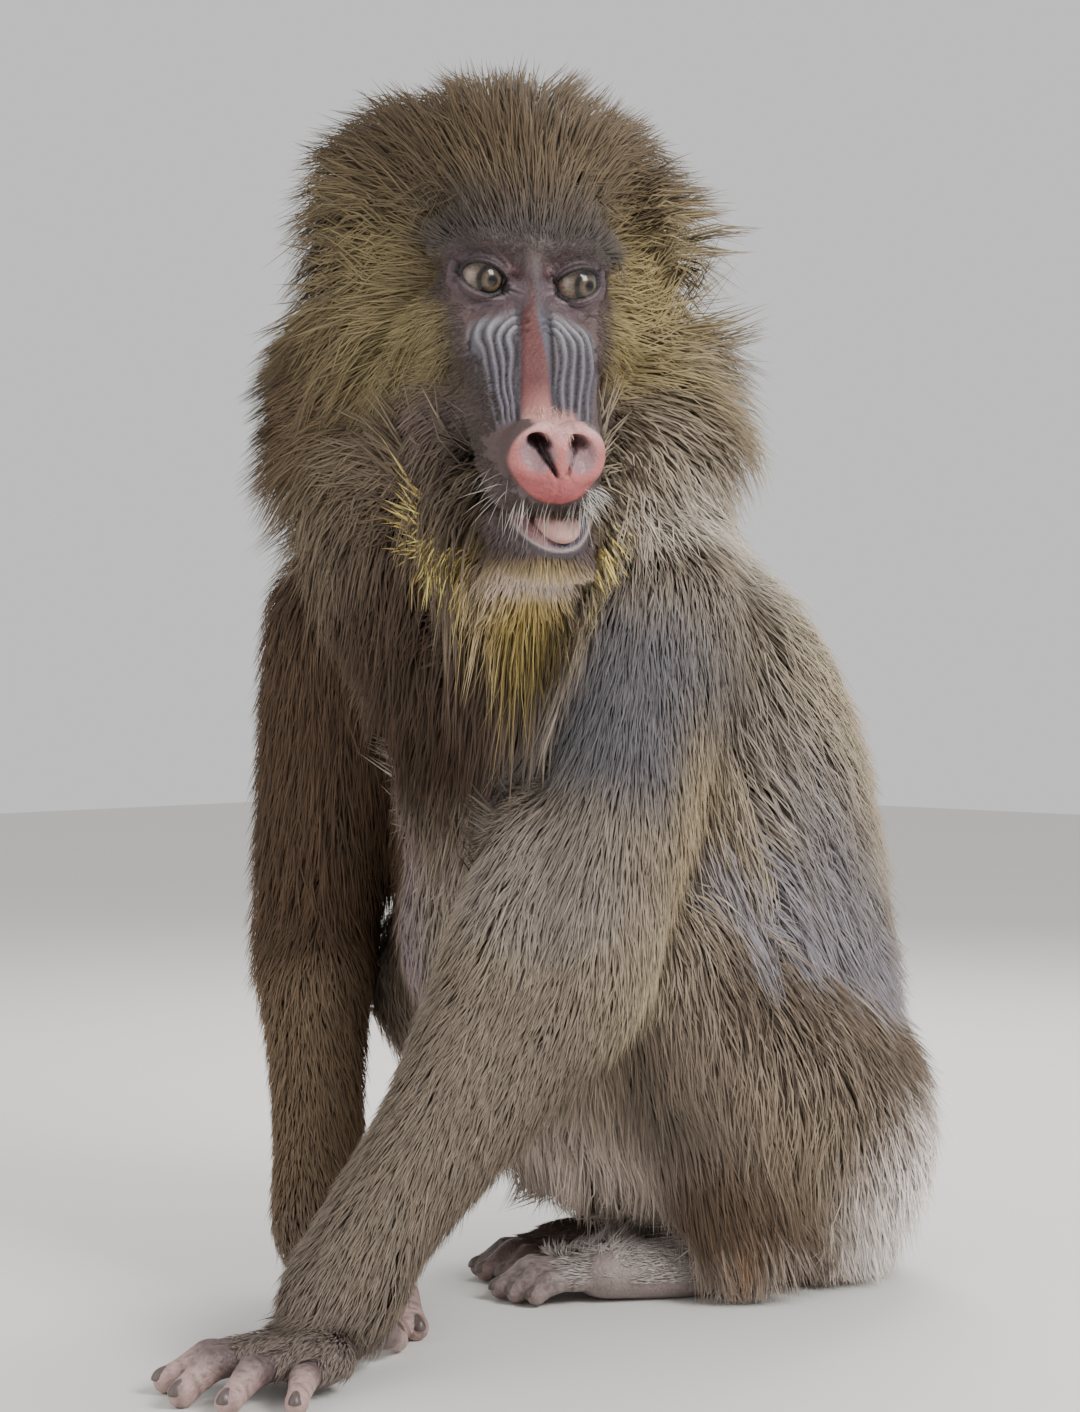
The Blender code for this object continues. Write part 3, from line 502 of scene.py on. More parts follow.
def shapeLids(p, s):
    # lids that lie on the eyeball, with a rim, a crease above and pouches below
    e = eyes
    centre = np.array([s * e["across"], 0, 0])
    away = p - centre
    dist = np.linalg.norm(away, axis=1)
    m = lidDistance(p, s)
    rim = e["radius"] + e["lid"] + e["rim"] * band(m, 0.7, 0.8)
    for isAbove, (place, wide, sink), (low, high, rise) in e["folds"]:
        fold = rise * smooth(low, high, m) + sink * band(m, place, wide)
        rim += np.where((away[:, 2] > 0) == isAbove, fold, 0)
    rim = np.where(m < 0, e["radius"] + e["lid"] - (e["lid"] + 2.6) * smooth(0, 1.3, -m), rim)
    hold = np.where((away[:, 1] < 2) & (dist < 26), 1 - smooth(4.5, 11, m), 0)
    return mixed(p, centre + away / np.maximum(dist, 1e-6)[:, None] * rim[:, None], hold)


ridges = {"start": 0.06, "inner": 6.6, "pitch": (5.4, 4.2, 2.3), "deep": 2.4, "count": 5.2}
muzzleLine = (np.array([0, -14.0, -19.0]), np.array([0, -66.0, -66.0]))


def alongMuzzle(p):
    a, b = muzzleLine
    way = (b - a)[1:]
    return ((p[:, 1:] - a[1:]) @ way) / (way @ way)


def fromBridge(p):
    # millimetres from the middle line of the bridge, which bends a little to its right
    return p[:, 0] + 7 * smooth(-0.1, 1.05, alongMuzzle(p))


def ridgeCount(p):
    # which furrow of the swelling beside the nose a place is at, and how far it is in that field
    r = ridges
    t = alongMuzzle(p)
    length = np.linalg.norm(muzzleLine[1] - muzzleLine[0])
    w = np.abs(fromBridge(p)) - r["inner"] - 0.6 * t
    top = np.maximum(0.24 - t, 0) * length
    last = np.where(p[:, 0] < 0, r["pitch"][2], r["pitch"][1])
    pitch = r["pitch"][0] + (last - r["pitch"][0]) * np.clip(t, 0, 1)
    wave = 0.14 * np.sin(t * 8 + np.sign(p[:, 0]) * 1.3) + 0.07 * np.sin(t * 17 + p[:, 0] * 0.35)
    n = np.hypot(np.maximum(w, 0), top * (w > -3)) / pitch + wave
    field = smooth(0.3, 0.9, n) * (1 - smooth(r["count"] - 0.4, r["count"] + 0.5, n))
    field *= smooth(-0.08, 0.12, t) * (1 - smooth(0.90, 1.02, t)) * (p[:, 1] < 0)
    return n, field


def furrow(n):
    # 1 in the furrow and 0 on the ridge
    off = np.abs(n - np.round(n)) * 2
    return np.clip(1 - off / 0.85, 0, 1) ** 1.2


nose = {
    "hollow": ((10.6, -76.8), (8.6, 9.4), 3.6), "hole": ((9.4, -71.8), (6.4, 4.6), 8.0),
    "slit": ((8.8, -73.5), (2.6, -86.5), (3.4, 1.9), 4.5),
}


def nosePad(p):
    # share of the way from the middle of the bare nose to its edge, which is heart-shaped
    x, z = np.abs(p[:, 0] - 0.6), p[:, 2] + 79.5
    wide = 24.2 * (1 - 0.16 * smooth(0, -19, z))
    tall = np.where(z > 0, 18.5 - 2.5 * band(x, 0, 5), 21.5)
    return (np.abs(x / wide) ** 2.15 + np.abs(z / tall) ** 2.15) ** (1 / 2.15)


def leaning(p):
    # the septum leans a little
    return p[:, 0] + 0.15 * (p[:, 2] + 80)


def ovalShare(p, s, centre, size):
    return np.hypot((leaning(p) * s - centre[0]) / size[0], (p[:, 2] - centre[1]) / size[1])


def slitShare(p, s):
    a, b, radius, _ = nose["slit"]
    a, b = np.array(a), np.array(b)
    q = np.stack([leaning(p) * s, p[:, 2]], axis=1)
    radius = radius[s > 0]
    t = np.clip((q - a) @ (b - a) / ((b - a) @ (b - a)), 0, 1)
    return np.linalg.norm(q - a - t[:, None] * (b - a), axis=1) / (radius * (1.1 - 0.7 * t))


def nostrilDepth(p, s):
    # a shallow hollow, a deep hole at its top and a slit beside the septum
    deep = np.zeros(len(p))
    for key in ("hollow", "hole"):
        centre, size, amount = nose[key]
        deep += amount * (1 - smooth(0.35, 1.08, ovalShare(p, s, centre, size)))
    deep += nose["slit"][3] * (1 - smooth(0.2, 1.1, slitShare(p, s)))
    return deep


def shapeFace(obj):
    mesh = obj.data
    co = verticesOf(mesh)
    p = toHead(co)
    x, y, z = p.T
    n = normalsOf(mesh) @ np.array(headTurn)
    near = (y < 30) & (z > -150) & (np.abs(x) < 60)
    # furrows and ridges beside the nose
    count, field = ridgeCount(p)
    lift = np.where(near, field * (0.5 - 2.2 * furrow(count)) * ridges["deep"] * 0.5, 0)
    # frown lines between and over the eyes
    frown = band(np.abs(x), 6.5, 1.6) * smooth(-6, 2, z) * (1 - smooth(14, 22, z))
    lift -= np.where(near & (y < 8), 0.6 * frown, 0)
    # groove on both sides of the bridge
    t = alongMuzzle(p)
    groove = band(np.abs(fromBridge(p)) - 7.6, 0.6 * t, 1.6)
    lift -= np.where(near, 1.5 * groove * smooth(-0.15, 0.1, t) * (1 - smooth(0.85, 1.0, t)) * (y < 0), 0)
    # nostrils: sunk inwards, with a raised rim
    inward = np.zeros(len(p))
    for s in (-1, 1):
        edge = ovalShare(p, s, *nose["hollow"][:2])
        atNose = (y < -70) & (z > -96) & (x * s > 0)
        inward += np.where(atNose, nostrilDepth(p, s), 0)
        rim = band(edge, 1.3, 0.22) * (x * s > nose["hollow"][0][0] - 4)
        lift += np.where(atNose & (edge > 1.0), 0.9 * rim, 0)
    # the bare nose stands a little proud of the lip, which has a groove
    pad = nosePad(p)
    lift += np.where(near & (y < -60), 0.9 * smooth(1.04, 0.92, pad) - 0.6 * band(pad, 1.09, 0.05), 0)
    lift -= np.where((y < -70) & (z < -88) & (z > -108), 0.8 * band(x, 0, 1.3), 0)
    p = p + n * lift[:, None]
    p[:, 1] += inward * 0.9
    p[:, 2] += inward * 0.35
    for s in (-1, 1):
        mine = near & (p[:, 0] * s > 0)
        p[mine] = shapeLids(p[mine], s)
    co[near] = fromHead(p)[near]
    setVertices(mesh, co)


shapeFace(skin)


# Which part of the body a place belongs to, by its distance from each part's middle line
def makeParts():
    # places on the middle lines, and the radii there
    parts = {
        "neck": ([c for c, *_ in body["neck"]], (70, 70, 56)),
        "chest": ([c for c, *_ in body["chest"]], (56, 70, 84, 92)),
        "belly": ([c for c, *_ in body["belly"]], (92, 84, 66)),
        "tail": (limbs["tail"], (13, 6)),
    }
    for side in ("Left", "Right"):
        shoulder, elbow, wrist = limbs["arm" + side]
        hip, knee, ankle = limbs["leg" + side]
        palm, foot = hands[side.lower()]["palm"], feet[side.lower()]
        wristLine = [between(elbow, wrist, share) for share in (0.3, 0.85)]
        ankleLine = [between(knee, ankle, share) for share in (0.35, 0.85)]
        parts["arm" + side] = ((shoulder, between(shoulder, elbow, 0.45), elbow), (36, 31, 25))
        parts["fore" + side] = ((elbow, *wristLine, wrist), (25, 27, 18, 17))
        parts["hand" + side] = ((between(elbow, wrist, 0.98), palm[0][0], palm[1][0]), (14, 14, 16))
        parts["thigh" + side] = ((hip, between(hip, knee, 0.5), knee), (46, 42, 27))
        parts["shin" + side] = ((knee, *ankleLine), (27, 26, 16))
        parts["foot" + side] = ((foot["heel"], foot["sole"][0][0], foot["sole"][1][0]), (14, 15, 15))
    skull = [(0, 62, 16), (0, 60, -40), (0, 10, -26), (0, -54, -80), (0, -62, -120)]
    places = toViewer(np.array([onHead(*p) for p in skull]))
    parts["head"] = ([tuple(p) for p in places], (56, 62, 34, 24, 18))
    return {name: list(zip(*line)) for name, line in parts.items()}


partLines = makeParts()
partNames = list(partLines)


def lineDistance(points, line):
    best = np.full(len(points), 1e9)
    for (a, ra), (b, rb) in zip(line, line[1:]):
        a, b = np.array(a, float), np.array(b, float)
        way = b - a
        t = np.clip((points - a) @ way / (way @ way), 0, 1)
        d = np.linalg.norm(points - a - t[:, None] * way, axis=1) - (ra + (rb - ra) * t)
        best = np.minimum(best, d)
    return best


def digitLines(side, kind):
    # the middle lines of the fingers or toes of one side
    digits = hands[side.lower()]["fingers"] if kind == "hand" else feet[side.lower()]["toes"]
    return [[(a, r), (b, r), (c, r)] for a, b, c, r in digits]


def partWeights(points):
    # points are the viewer's millimetres; soft at the joints
    d = np.array([lineDistance(points, line) for line in partLines.values()]).T
    for side in ("Left", "Right"):
        for kind in ("hand", "foot"):
            i = partNames.index(kind + side)
            for line in digitLines(side, kind):
                d[:, i] = np.minimum(d[:, i], lineDistance(points, line))
    w = np.exp(-(d - d.min(axis=1)[:, None]) / 5)
    return w / w.sum(axis=1)[:, None]


def bump3(points, centre, size):
    # 1 at the centre and fading to 0 over the size, in each direction
    return np.exp(-(((points - np.array(centre)) / np.array(size)) ** 2).sum(axis=1))


# How the coat is on each part: millimetres apart, long, deep and wide, and how many rings bend it
coat = {
    "neck": {"apart": 2.8, "long": 56, "deep": 26, "wide": 1.45, "bends": 2, "clump": 0.5},
    "chest": {"apart": 3.0, "long": 62, "deep": 22, "wide": 1.4, "bends": 2, "clump": 0.45},
    "belly": {"apart": 3.1, "long": 60, "deep": 22, "wide": 1.4, "bends": 2, "clump": 0.45},
    "tail": {"apart": 2.4, "long": 30, "deep": 9, "wide": 1.6, "bends": 1, "clump": 0.3},
    "arm": {"apart": 2.25, "long": 32, "deep": 9, "wide": 1.05, "bends": 1, "clump": 0.25},
    "fore": {"apart": 2.1, "long": 25, "deep": 6.5, "wide": 0.95, "bends": 1, "clump": 0.2},
    "hand": {"apart": 1.5, "long": 8, "deep": 1.6, "wide": 0.6, "bends": 1, "clump": 0.2},
    "thigh": {"apart": 2.7, "long": 52, "deep": 20, "wide": 1.4, "bends": 2, "clump": 0.42},
    "shin": {"apart": 2.2, "long": 46, "deep": 15, "wide": 1.2, "bends": 1, "clump": 0.35},
    "foot": {"apart": 1.5, "long": 7, "deep": 1.4, "wide": 0.6, "bends": 1, "clump": 0.2},
    "head": {"apart": 2.0, "long": 70, "deep": 44, "wide": 1.5, "bends": 2, "clump": 0.5},
}


def valueFor(weights, key):
    return weights @ np.array([coat[kindOf(name)][key] for name in partNames], float)


def faceEdge(h):
    # millimetres from the bare face into the coat, below 0 on the bare face
    x, y, z = np.abs(h[:, 0]), h[:, 1], h[:, 2]
    t = alongMuzzle(h)
    byEyes = np.hypot(np.maximum(x - 24, 0), z / np.where(z > 0, 0.92, 1.0)) - 16.5
    bridge = np.maximum.reduce([x - 14, z - 12, -84 - z])
    narrower = np.where(h[:, 0] < 0, 12, 8) * np.clip(t, 0, 1)
    sides = np.maximum.reduce([x - 33 + narrower, (-0.12 - t) * 60, (t - 1.12) * 60])
    pad = (nosePad(h) - 1.06 - 0.16 * smooth(-92, -76, z)) * 22
    wave = 0.9 * np.sin(h[:, 0] * 0.9) + 0.7 * np.sin(z * 0.8 + 1)
    return np.maximum(np.minimum.reduce([byEyes, bridge, sides, pad]) + wave, (y - 8) * 0.7)


def headLie(h):
    # back from the face, up on the crown, down on the low cheeks, the muzzle, the beard and the nape
    x, y, z = h.T
    one = np.ones(len(h))
    way = np.stack([x * np.where(x > 0, 1.8, 0.85), one * 44, (z + 8) * 0.8 - 14], axis=1)
    zones = (
        (smooth(12, 26, z) * (1 - smooth(36, 66, y)), 0.55, (20, 32)),
        (smooth(10, -8, y) * smooth(-24, -44, z), 0.8, (34, -26)),
        (smooth(-40, -54, y) * smooth(-92, -98, z), 1.2, (6, -32)),
        (smooth(-108, -126, z) * smooth(36, 10, y), 1.15, (-10, -44)),
        (smooth(66, 100, y), 0.6, (4, -46)),
    )
    for amount, sideways, (back, up) in zones:
        way = mixed(way, np.stack([x * sideways, one * back, one * up], axis=1), amount)
    return way @ headToView.T


def lieAt(points, weights):
    # the way the hair runs, in the viewer's directions
    x, y, z = points.T
    ways = []
    for name in partNames:
        kind, line = kindOf(name), partLines[name]
        along = np.array(line[-1][0], float) - np.array(line[0][0], float)
        along /= np.linalg.norm(along)
        way = along
        if kind == "head":
            way = headLie(toHead(fromViewer(points)))
        elif kind == "neck":
            out = points - np.array([-10, 62, 0])
            out[:, 2] = 0
            way = np.array([0, 0, -1.0]) + out / np.linalg.norm(out, axis=1)[:, None] * 0.25
        elif kind in ("chest", "belly"):
            way = np.broadcast_to(np.array([0.22, 0.18, -1.0]), points.shape)
            zones = (
                (smooth(50, 90, x) * smooth(120, 170, z), (0.5, 0.3, -1.0)),
                (smooth(50, 0, x) * smooth(70, 20, y), (-0.16, -0.12, -1.0)),
                (bump3(points, (20, -10, 250), (46, 50, 50)), (-0.6, -0.3, -0.9)),
            )
            for amount, toward in zones:
                way = mixed(way, np.array(toward), amount)
        elif kind == "thigh":
            way = np.array([0.14, 0.08, -1.0])
        elif kind == "shin":
            way = along * 0.5 + np.array([0.05, 0, -0.9])
        elif kind == "arm":
            inner = bump3(points, (4, -20, 230), (34, 40, 60))
            way = mixed(along + np.array([0.12, 0.08, -0.35]), np.array([-0.75, -0.4, -0.8]), inner)
        elif kind == "fore":
            way = along + np.array([0.1, 0, -0.35])
        ways.append(unit(np.broadcast_to(way, points.shape)))
    return np.einsum("np,pnk->nk", weights, np.array(ways))


# Colours of the coat, root and tip; those of the right arm and right foot are darkened with painted shade
fur = {
    "neck": ((84, 70, 56), (138, 122, 100)), "chest": ((94, 81, 69), (156, 140, 120)),
    "belly": ((104, 90, 80), (166, 148, 134)), "tail": ((88, 74, 60), (150, 136, 114)),
    "armLeft": ((94, 82, 69), (160, 143, 120)), "foreLeft": ((77, 66, 57), (132, 118, 102)),
    # armRight and foreRight hold painted shade: darker and browner than the left arm
    "handLeft": ((78, 67, 61), (134, 119, 109)), "armRight": ((52, 37, 27), (92, 70, 50)),
    "foreRight": ((74, 58, 44), (124, 102, 78)), "handRight": ((80, 70, 62), (116, 102, 90)),
    "thigh": ((80, 67, 55), (138, 121, 100)), "shin": ((104, 90, 78), (166, 148, 134)),
    # footRight is darkened with painted shade
    "footLeft": ((128, 115, 110), (186, 176, 170)), "footRight": ((56, 42, 36), (92, 74, 64)),
    "head": ((66, 52, 39), (114, 97, 71)),
    # painted over the colours of the parts
    "drape": ((88, 83, 86), (143, 136, 140)), "shadeUnderDrape": ((58, 47, 38), (108, 93, 78)),
    "crown": ((54, 43, 33), (98, 81, 59)), "cheek": ((84, 72, 48), (152, 136, 96)),
    "yellowCheek": ((90, 75, 44), (164, 145, 98)), "paleRuff": ((96, 84, 72), (160, 146, 130)),
    "brownRuff": ((70, 55, 42), (112, 92, 70)), "lowCheek": ((70, 58, 56), (114, 97, 94)),
    "faceRim": ((56, 44, 40), (84, 72, 66)), "brow": ((54, 47, 44), (86, 77, 72)),
    "beard": ((196, 158, 68), (252, 224, 132)), "chin": ((188, 160, 146), (230, 208, 192)),
}
# Paler, darker and coloured places of the coat, and a painted shadow: share of which part, where, how large,
# root and tip
trunkPatches = (
    ((84, 30, 405), (56, 80, 46), (116, 103, 90), (194, 182, 166), 1.0),
    ((118, 70, 330), (44, 60, 70), (112, 99, 82), (180, 164, 136), 0.9),
    ((140, 90, 240), (36, 60, 60), (112, 99, 84), (176, 160, 136), 0.8),
    ((92, 40, 270), (34, 60, 60), (82, 76, 76), (134, 126, 126), 0.9),
    ((100, 50, 235), (50, 70, 40), (80, 76, 78), (130, 124, 127), 0.9),
    ((-20, 60, 215), (46, 60, 70), (112, 98, 88), (158, 144, 130), 1.0),
    ((-66, 60, 240), (16, 60, 80), (96, 82, 90), (136, 120, 130), 0.7),
    # painted shadow on the chest beside the right arm
    ((-56, 24, 350), (66, 80, 74), (44, 31, 22), (76, 57, 42), 1.0),
    ((10, -10, 300), (36, 50, 36), (66, 56, 54), (112, 102, 100), 0.8),
    ((14, 60, 86), (52, 110, 50), (150, 132, 120), (214, 196, 182), 1.0),
)
armPatches = (
    ((48, -8, 320), (54, 60, 60), (66, 62, 64), (108, 104, 107), 1.0),
    ((6, -40, 230), (40, 40, 46), (92, 84, 82), (146, 136, 130), 0.7),
    ((78, 4, 250), (20, 50, 74), (112, 96, 74), (182, 162, 128), 0.9),
    ((56, -14, 172), (34, 40, 44), (118, 102, 80), (204, 188, 152), 0.9),
)
legPatches = (
    ((182, 90, 70), (42, 90, 66), (180, 164, 154), (246, 232, 224), 1.0),
    ((97, 40, 52), (5, 40, 17), (96, 62, 36), (142, 104, 66), 0.6),
    ((90, 20, 88), (34, 60, 30), (56, 42, 31), (98, 76, 55), 0.9),
    ((60, 0, 140), (34, 50, 44), (58, 48, 40), (112, 98, 82), 0.7),
    ((26, 60, 86), (32, 110, 46), (144, 128, 116), (206, 190, 176), 1.0),
)


def coatTone(points, weights):
    # root and tip colours at these places, in the viewer's millimetres
    pairs = [fur.get(name, fur.get(kindOf(name))) for name in partNames]
    tones = [weights @ np.array([srgb(*pair[end]) for pair in pairs]) for end in (0, 1)]

    def paint(amount, pair):
        for end in (0, 1):
            tones[end] = mixed(tones[end], srgb(*pair[end]), np.clip(amount, 0, 1))

    w = {name: weights[:, i] for i, name in enumerate(partNames)}
    trunk = w["chest"] + w["belly"] + w["neck"]
    legs = w["thighLeft"] + w["thighRight"] + w["shinLeft"] + w["shinRight"]
    arm = w["armLeft"] + 0.5 * trunk
    for share, patches in ((trunk, trunkPatches), (arm, armPatches), (legs, legPatches)):
        for centre, size, rootColour, tipColour, amount in patches:
            paint(share * amount * smooth(0.05, 0.75, bump3(points, centre, size)), (rootColour, tipColour))
    # a grey drape of flank hair with a ragged edge, and painted shade on the thigh below it
    px, py, pz = points.T
    over = pz - 211 + 0.574 * (px - 77) + 5 * np.sin(px * 0.31) + 3 * np.sin(px * 0.83)
    flank = (w["chest"] + w["belly"] + legs) * smooth(56, 74, px) * smooth(150, 110, py)
    paint(flank * smooth(6, 16, over) * smooth(66, 40, over), fur["drape"])
    paint(flank * smooth(8, -2, over) * smooth(-44, -14, over), fur["shadeUnderDrape"])
    # head: olive crown, dark brow, pale cheek on its left, brown lower cheeks, yellow beard
    h = toHead(fromViewer(points))
    x, y, z = h.T
    side = np.abs(x)
    edge = faceEdge(h)
    share = w["head"]
    paint(share * smooth(16, 44, z), fur["crown"])
    cheek = smooth(30, 44, side) * smooth(-66, -40, z) * smooth(34, 10, z) * smooth(60, 30, y)
    paint(share * cheek, fur["cheek"])
    paint(share * cheek * smooth(34, 44, x), fur["yellowCheek"])
    ruff = share * smooth(26, 54, y) * smooth(0, -60, z)
    paint(ruff * smooth(-10, 40, x), fur["paleRuff"])
    paint(ruff * smooth(10, -40, x), fur["brownRuff"])
    paint(share * (smooth(-44, -64, z) * smooth(42, 12, y)), fur["lowCheek"])
    paint(share * smooth(10, 2, edge) * smooth(24, 8, z) * (y < 16), fur["faceRim"])
    paint(share * smooth(22, 6, edge) * smooth(6, 14, z) * smooth(44, 30, z), fur["brow"])
    wing = 16 * smooth(28, 46, side) * (x > 0)
    beard = smooth(-122 + wing, -134 + wing, z + 0.12 * side)
    paint(share * (beard * smooth(62, 48, side + 22 * (x < 0)) * smooth(40, 18, y)), fur["beard"])
    bib = smooth(50, 42, np.abs(px + 8)) * smooth(366, 378, pz - 0.4 * np.abs(px + 12))
    paint((w["neck"] + w["chest"]) * (bib * smooth(408, 396, pz) * smooth(40, 20, py)), fur["beard"])
    chin = share * smooth(-126, -133, z) * smooth(-149, -140, z) * smooth(30, 18, np.abs(x - 2)) * (y < -20)
    paint(chin, fur["chin"])
    return tones


def sampleRoots(mesh, apart):
    # places spread over the whole skin, about that far apart
    mesh.calc_loop_triangles()
    count = len(mesh.loop_triangles)
    corners = np.empty(count * 3, np.int32)
    mesh.loop_triangles.foreach_get("vertices", corners)
    corners = corners.reshape(-1, 3)
    co, no = verticesOf(mesh), normalsOf(mesh)
    a, b, c = (co[corners[:, i]] for i in range(3))
    area = np.linalg.norm(np.cross(b - a, c - a), axis=1) / 2
    tries = int(area.sum() / (apart * mm) ** 2 * coatLook["tries"])
    pick = rng.choice(count, tries, p=area / area.sum())
    u, v = rng.random(tries), rng.random(tries)
    flip = u + v > 1
    u, v = np.where(flip, 1 - u, u)[:, None], np.where(flip, 1 - v, v)[:, None]
    where = corners[pick]
    share = (1 - u - v, u, v)
    places = sum(s * co[where[:, i]] for i, s in enumerate(share))
    normals = sum(s * no[where[:, i]] for i, s in enumerate(share))
    return places, normals / np.linalg.norm(normals, axis=1)[:, None]


def cellOf(points, cell, shift=0):
    # one number for the cell that each place is in
    across, away, up = np.floor(points / cell[:, None] + shift).astype(np.int64).T
    return (across * 8192 + away) * 8192 + up


def thinned(points, cell, label):
    # keeps one place in each cell
    return np.unique(cellOf(points, cell) * 64 + label, return_index=True)[1]


def skinTree(mesh):
    return BVHTree.FromPolygons([v.co for v in mesh.vertices], [p.vertices[:] for p in mesh.polygons])


def mouthShare(h):
    # below 1 within the curve of the open mouth, seen from the front
    x, z = np.abs(h[:, 0] - 6.5), h[:, 2] + 107.5
    inside = np.hypot(x / 20.5, z / 16)
    front = (h[:, 1] < -34) & (z < 1.5)
    return np.where(front, inside, 9)


def bald(points, normals, h, weights):
    # where no tuft grows: the face, the mouth, soles, finger tips and inside the ears
    edge = faceEdge(h)
    onHeadPart = weights[:, partNames.index("head")] > 0.4
    rim = mouthShare(h) < 1.12
    bare = onHeadPart & ((edge < 0) | rim)
    ear = onHeadPart & (np.abs(h[:, 0]) > 50) & (np.hypot(h[:, 1] - 74, h[:, 2] - 4) < 22) & (h[:, 1] > 44)
    low = (points[:, 2] < 11) & (normals[:, 2] < 0.3)
    tips = np.zeros(len(points), bool)
    for side in ("Left", "Right"):
        for kind, start in (("hand", 0.85), ("foot", 0.8)):
            for (a, r), b, c in digitLines(side, kind):
                tips |= lineDistance(points, [(between(a, b[0], start), r), b, c]) < 2.5
    return bare | ear | low | tips


def unit(ways):
    return ways / np.maximum(np.linalg.norm(ways, axis=1), 1e-9)[:, None]


def nearestOnSkin(tree, points):
    # the nearest place on the skin and the way out of it there, all in the viewer's millimetres
    found = [tree.find_nearest(p)[:2] for p in fromViewer(points)]
    places, outs = (np.array([one[i] for one in found]) for i in (0, 1))
    return toViewer(places), outs @ turnIn


def coatEdge(h, more):
    # distance from the bare face; low down it counts from the back of the muzzle
    edge = np.maximum(faceEdge(h), 0)
    low = np.maximum((h[:, 1] + 26) * 0.9, 2 + more * edge)
    return np.where(h[:, 2] < -30, np.minimum(edge, low), edge)


# Hair of the head in millimetres: at the face, more with each millimetre from it, more in full
headHair = {
    "long": (3.6, 0.12, 60), "deep": (0.7, 0.05, 44), "wide": (0.38, 0.78, 0.25),
    "ruff": ((34, 8), (44, 7, 15)), "corners": 10, "crown": 12, "beard": ((32, 14), (6, 18)), "chin": (10, 2.5),
}
# Longer and deeper hair of the body
bodyHair = {"hang": (26, 0), "wrist": (8, 4), "bib": (-22, 0), "side": (10, 13), "arm": (8, 9)}


def hairSizes(points, weights):
    # length, depth and width of the tufts; on the head they grow from the face outwards
    long, deep, wide = (valueFor(weights, key) for key in ("long", "deep", "wide"))
    h = toHead(fromViewer(points))
    x, y, z = np.abs(h[:, 0]), h[:, 1], h[:, 2]
    share = weights[:, partNames.index("head")]
    edge = coatEdge(h, 0.06)
    grow = smooth(0, 30, edge)
    (longStart, longMore, longFull), (deepStart, deepMore, deepFull) = headHair["long"], headHair["deep"]
    longHead = longStart + longMore * edge + longFull * grow
    deepHead = deepStart + deepMore * edge + deepFull * smooth(3, 40, edge)
    # a ruff that is fuller on the left
    ruff = smooth(28, -12, z) * smooth(14, 40, edge)
    (longLeft, longRight), (deepLeft, deepRight, deepUp) = headHair["ruff"]
    deepHead += np.where(h[:, 0] > 0, deepLeft, deepRight + deepUp * smooth(-50, -10, z)) * ruff
    longHead += np.where(h[:, 0] > 0, longLeft, longRight) * ruff
    corners = smooth(22, 38, x) * smooth(0, 22, z) * smooth(10, 30, edge)
    deepHead += headHair["corners"] * corners
    deepHead -= smooth(26, 44, z) * (1 - corners) * headHair["crown"] * smooth(0, 40, edge)
    beard = smooth(-122, -132, z) * smooth(34, 16, y)
    (longTop, longLow), (deepTop, deepLow) = headHair["beard"]
    longHead = blend(longHead, longTop + longLow * smooth(-134, -146, z), beard)
    deepHead = blend(deepHead, deepTop + deepLow * smooth(-134, -148, z), beard)
    chin = smooth(0.1, 0.6, bump3(h, (2, -60, -137), (26, 26, 10)))
    longHead, deepHead = (blend(a, b, chin) for a, b in zip((longHead, deepHead), headHair["chin"]))
    thin, thicker, bearded = headHair["wide"]
    wideHead = thin + thicker * grow + bearded * beard
    # the body: hair that hangs from the belly and the wrist, a shorter bib, thicker hair on the outer sides
    rest = 1 - share
    px, py, pz = points.T
    bib = smooth(56, 44, np.abs(px + 8)) * smooth(350, 372, pz) * smooth(412, 400, pz) * smooth(40, 20, py)
    places = {
        "hang": bump3(points, (14, 70, 84), (54, 80, 40)),
        "wrist": bump3(points, (-76, -116, 56), (34, 30, 34)),
        "bib": bib * rest,
        "side": smooth(60, 115, px) * smooth(10, 50, pz) * rest,
        "arm": smooth(-95, -118, px) * smooth(110, 200, pz) * rest,
    }
    long, deep = blend(long, longHead, share), blend(deep, deepHead, share)
    for name, amount in places.items():
        longer, deeper = bodyHair[name]
        long, deep = long + longer * amount, deep + deeper * amount
    return long, deep, blend(wide, wideHead, share)


def apartFor(points, weights):
    # millimetres between the tufts, closest at the edge of the face
    near = 1.1 + 0.68 * smooth(0, 24, coatEdge(toHead(fromViewer(points)), 0))
    return blend(valueFor(weights, "apart"), near, weights[:, partNames.index("head")])


def clumped(points, roots, cell, amount):
    # draws places towards the middle of their neighbours, as hair sticks together
    names, group = np.unique(cellOf(roots, cell, 0.37), return_inverse=True)
    count = np.bincount(group, minlength=len(names))
    middle = np.stack([np.bincount(group, points[:, i], len(names)) / count for i in range(3)], axis=1)
    shift = rng.normal(0, 1, (len(names), 3))
    return points + (middle[group] - points) * amount[:, None], shift[group], rng.random(len(names))[group]


coatLook = {
    "finest": 1.2, "tries": 2.4, "apart": 0.81, "spacing": 0.12, "steps": 3, "stray": 0.08, "soft": 0.72,
    # each tuft's own length, depth and width, against its neighbours'
    "uneven": ((0.6, 1.14), (0.75, 1.05), (0.8, 1.15)),
    # how high over the skin each step of a tuft is, and how far its clump draws it in
    "rises": (0.0, 0.52, 0.86, 1.0), "draw": ((1, 0.2), (2, 0.6), (3, 1.0)),
    # places along a tuft, and how dark it is there, by its number of rings
    "along": {2: (0.05, 0.45, 0.8, 1.0), 1: (0.05, 0.6, 1.0)},
    "dark": {2: (0.7, 0.92, 1.0, 1.05), 1: (0.75, 0.97, 1.04)},
    # how many tips are paler and by how much; shade of a clump, its spread and that of single tufts
    "pale": (0.16, 1.28), "clumps": (0.86, 0.26, 0.09),
    "tile": 0.003,  # size of one tuft in the texture's square
}


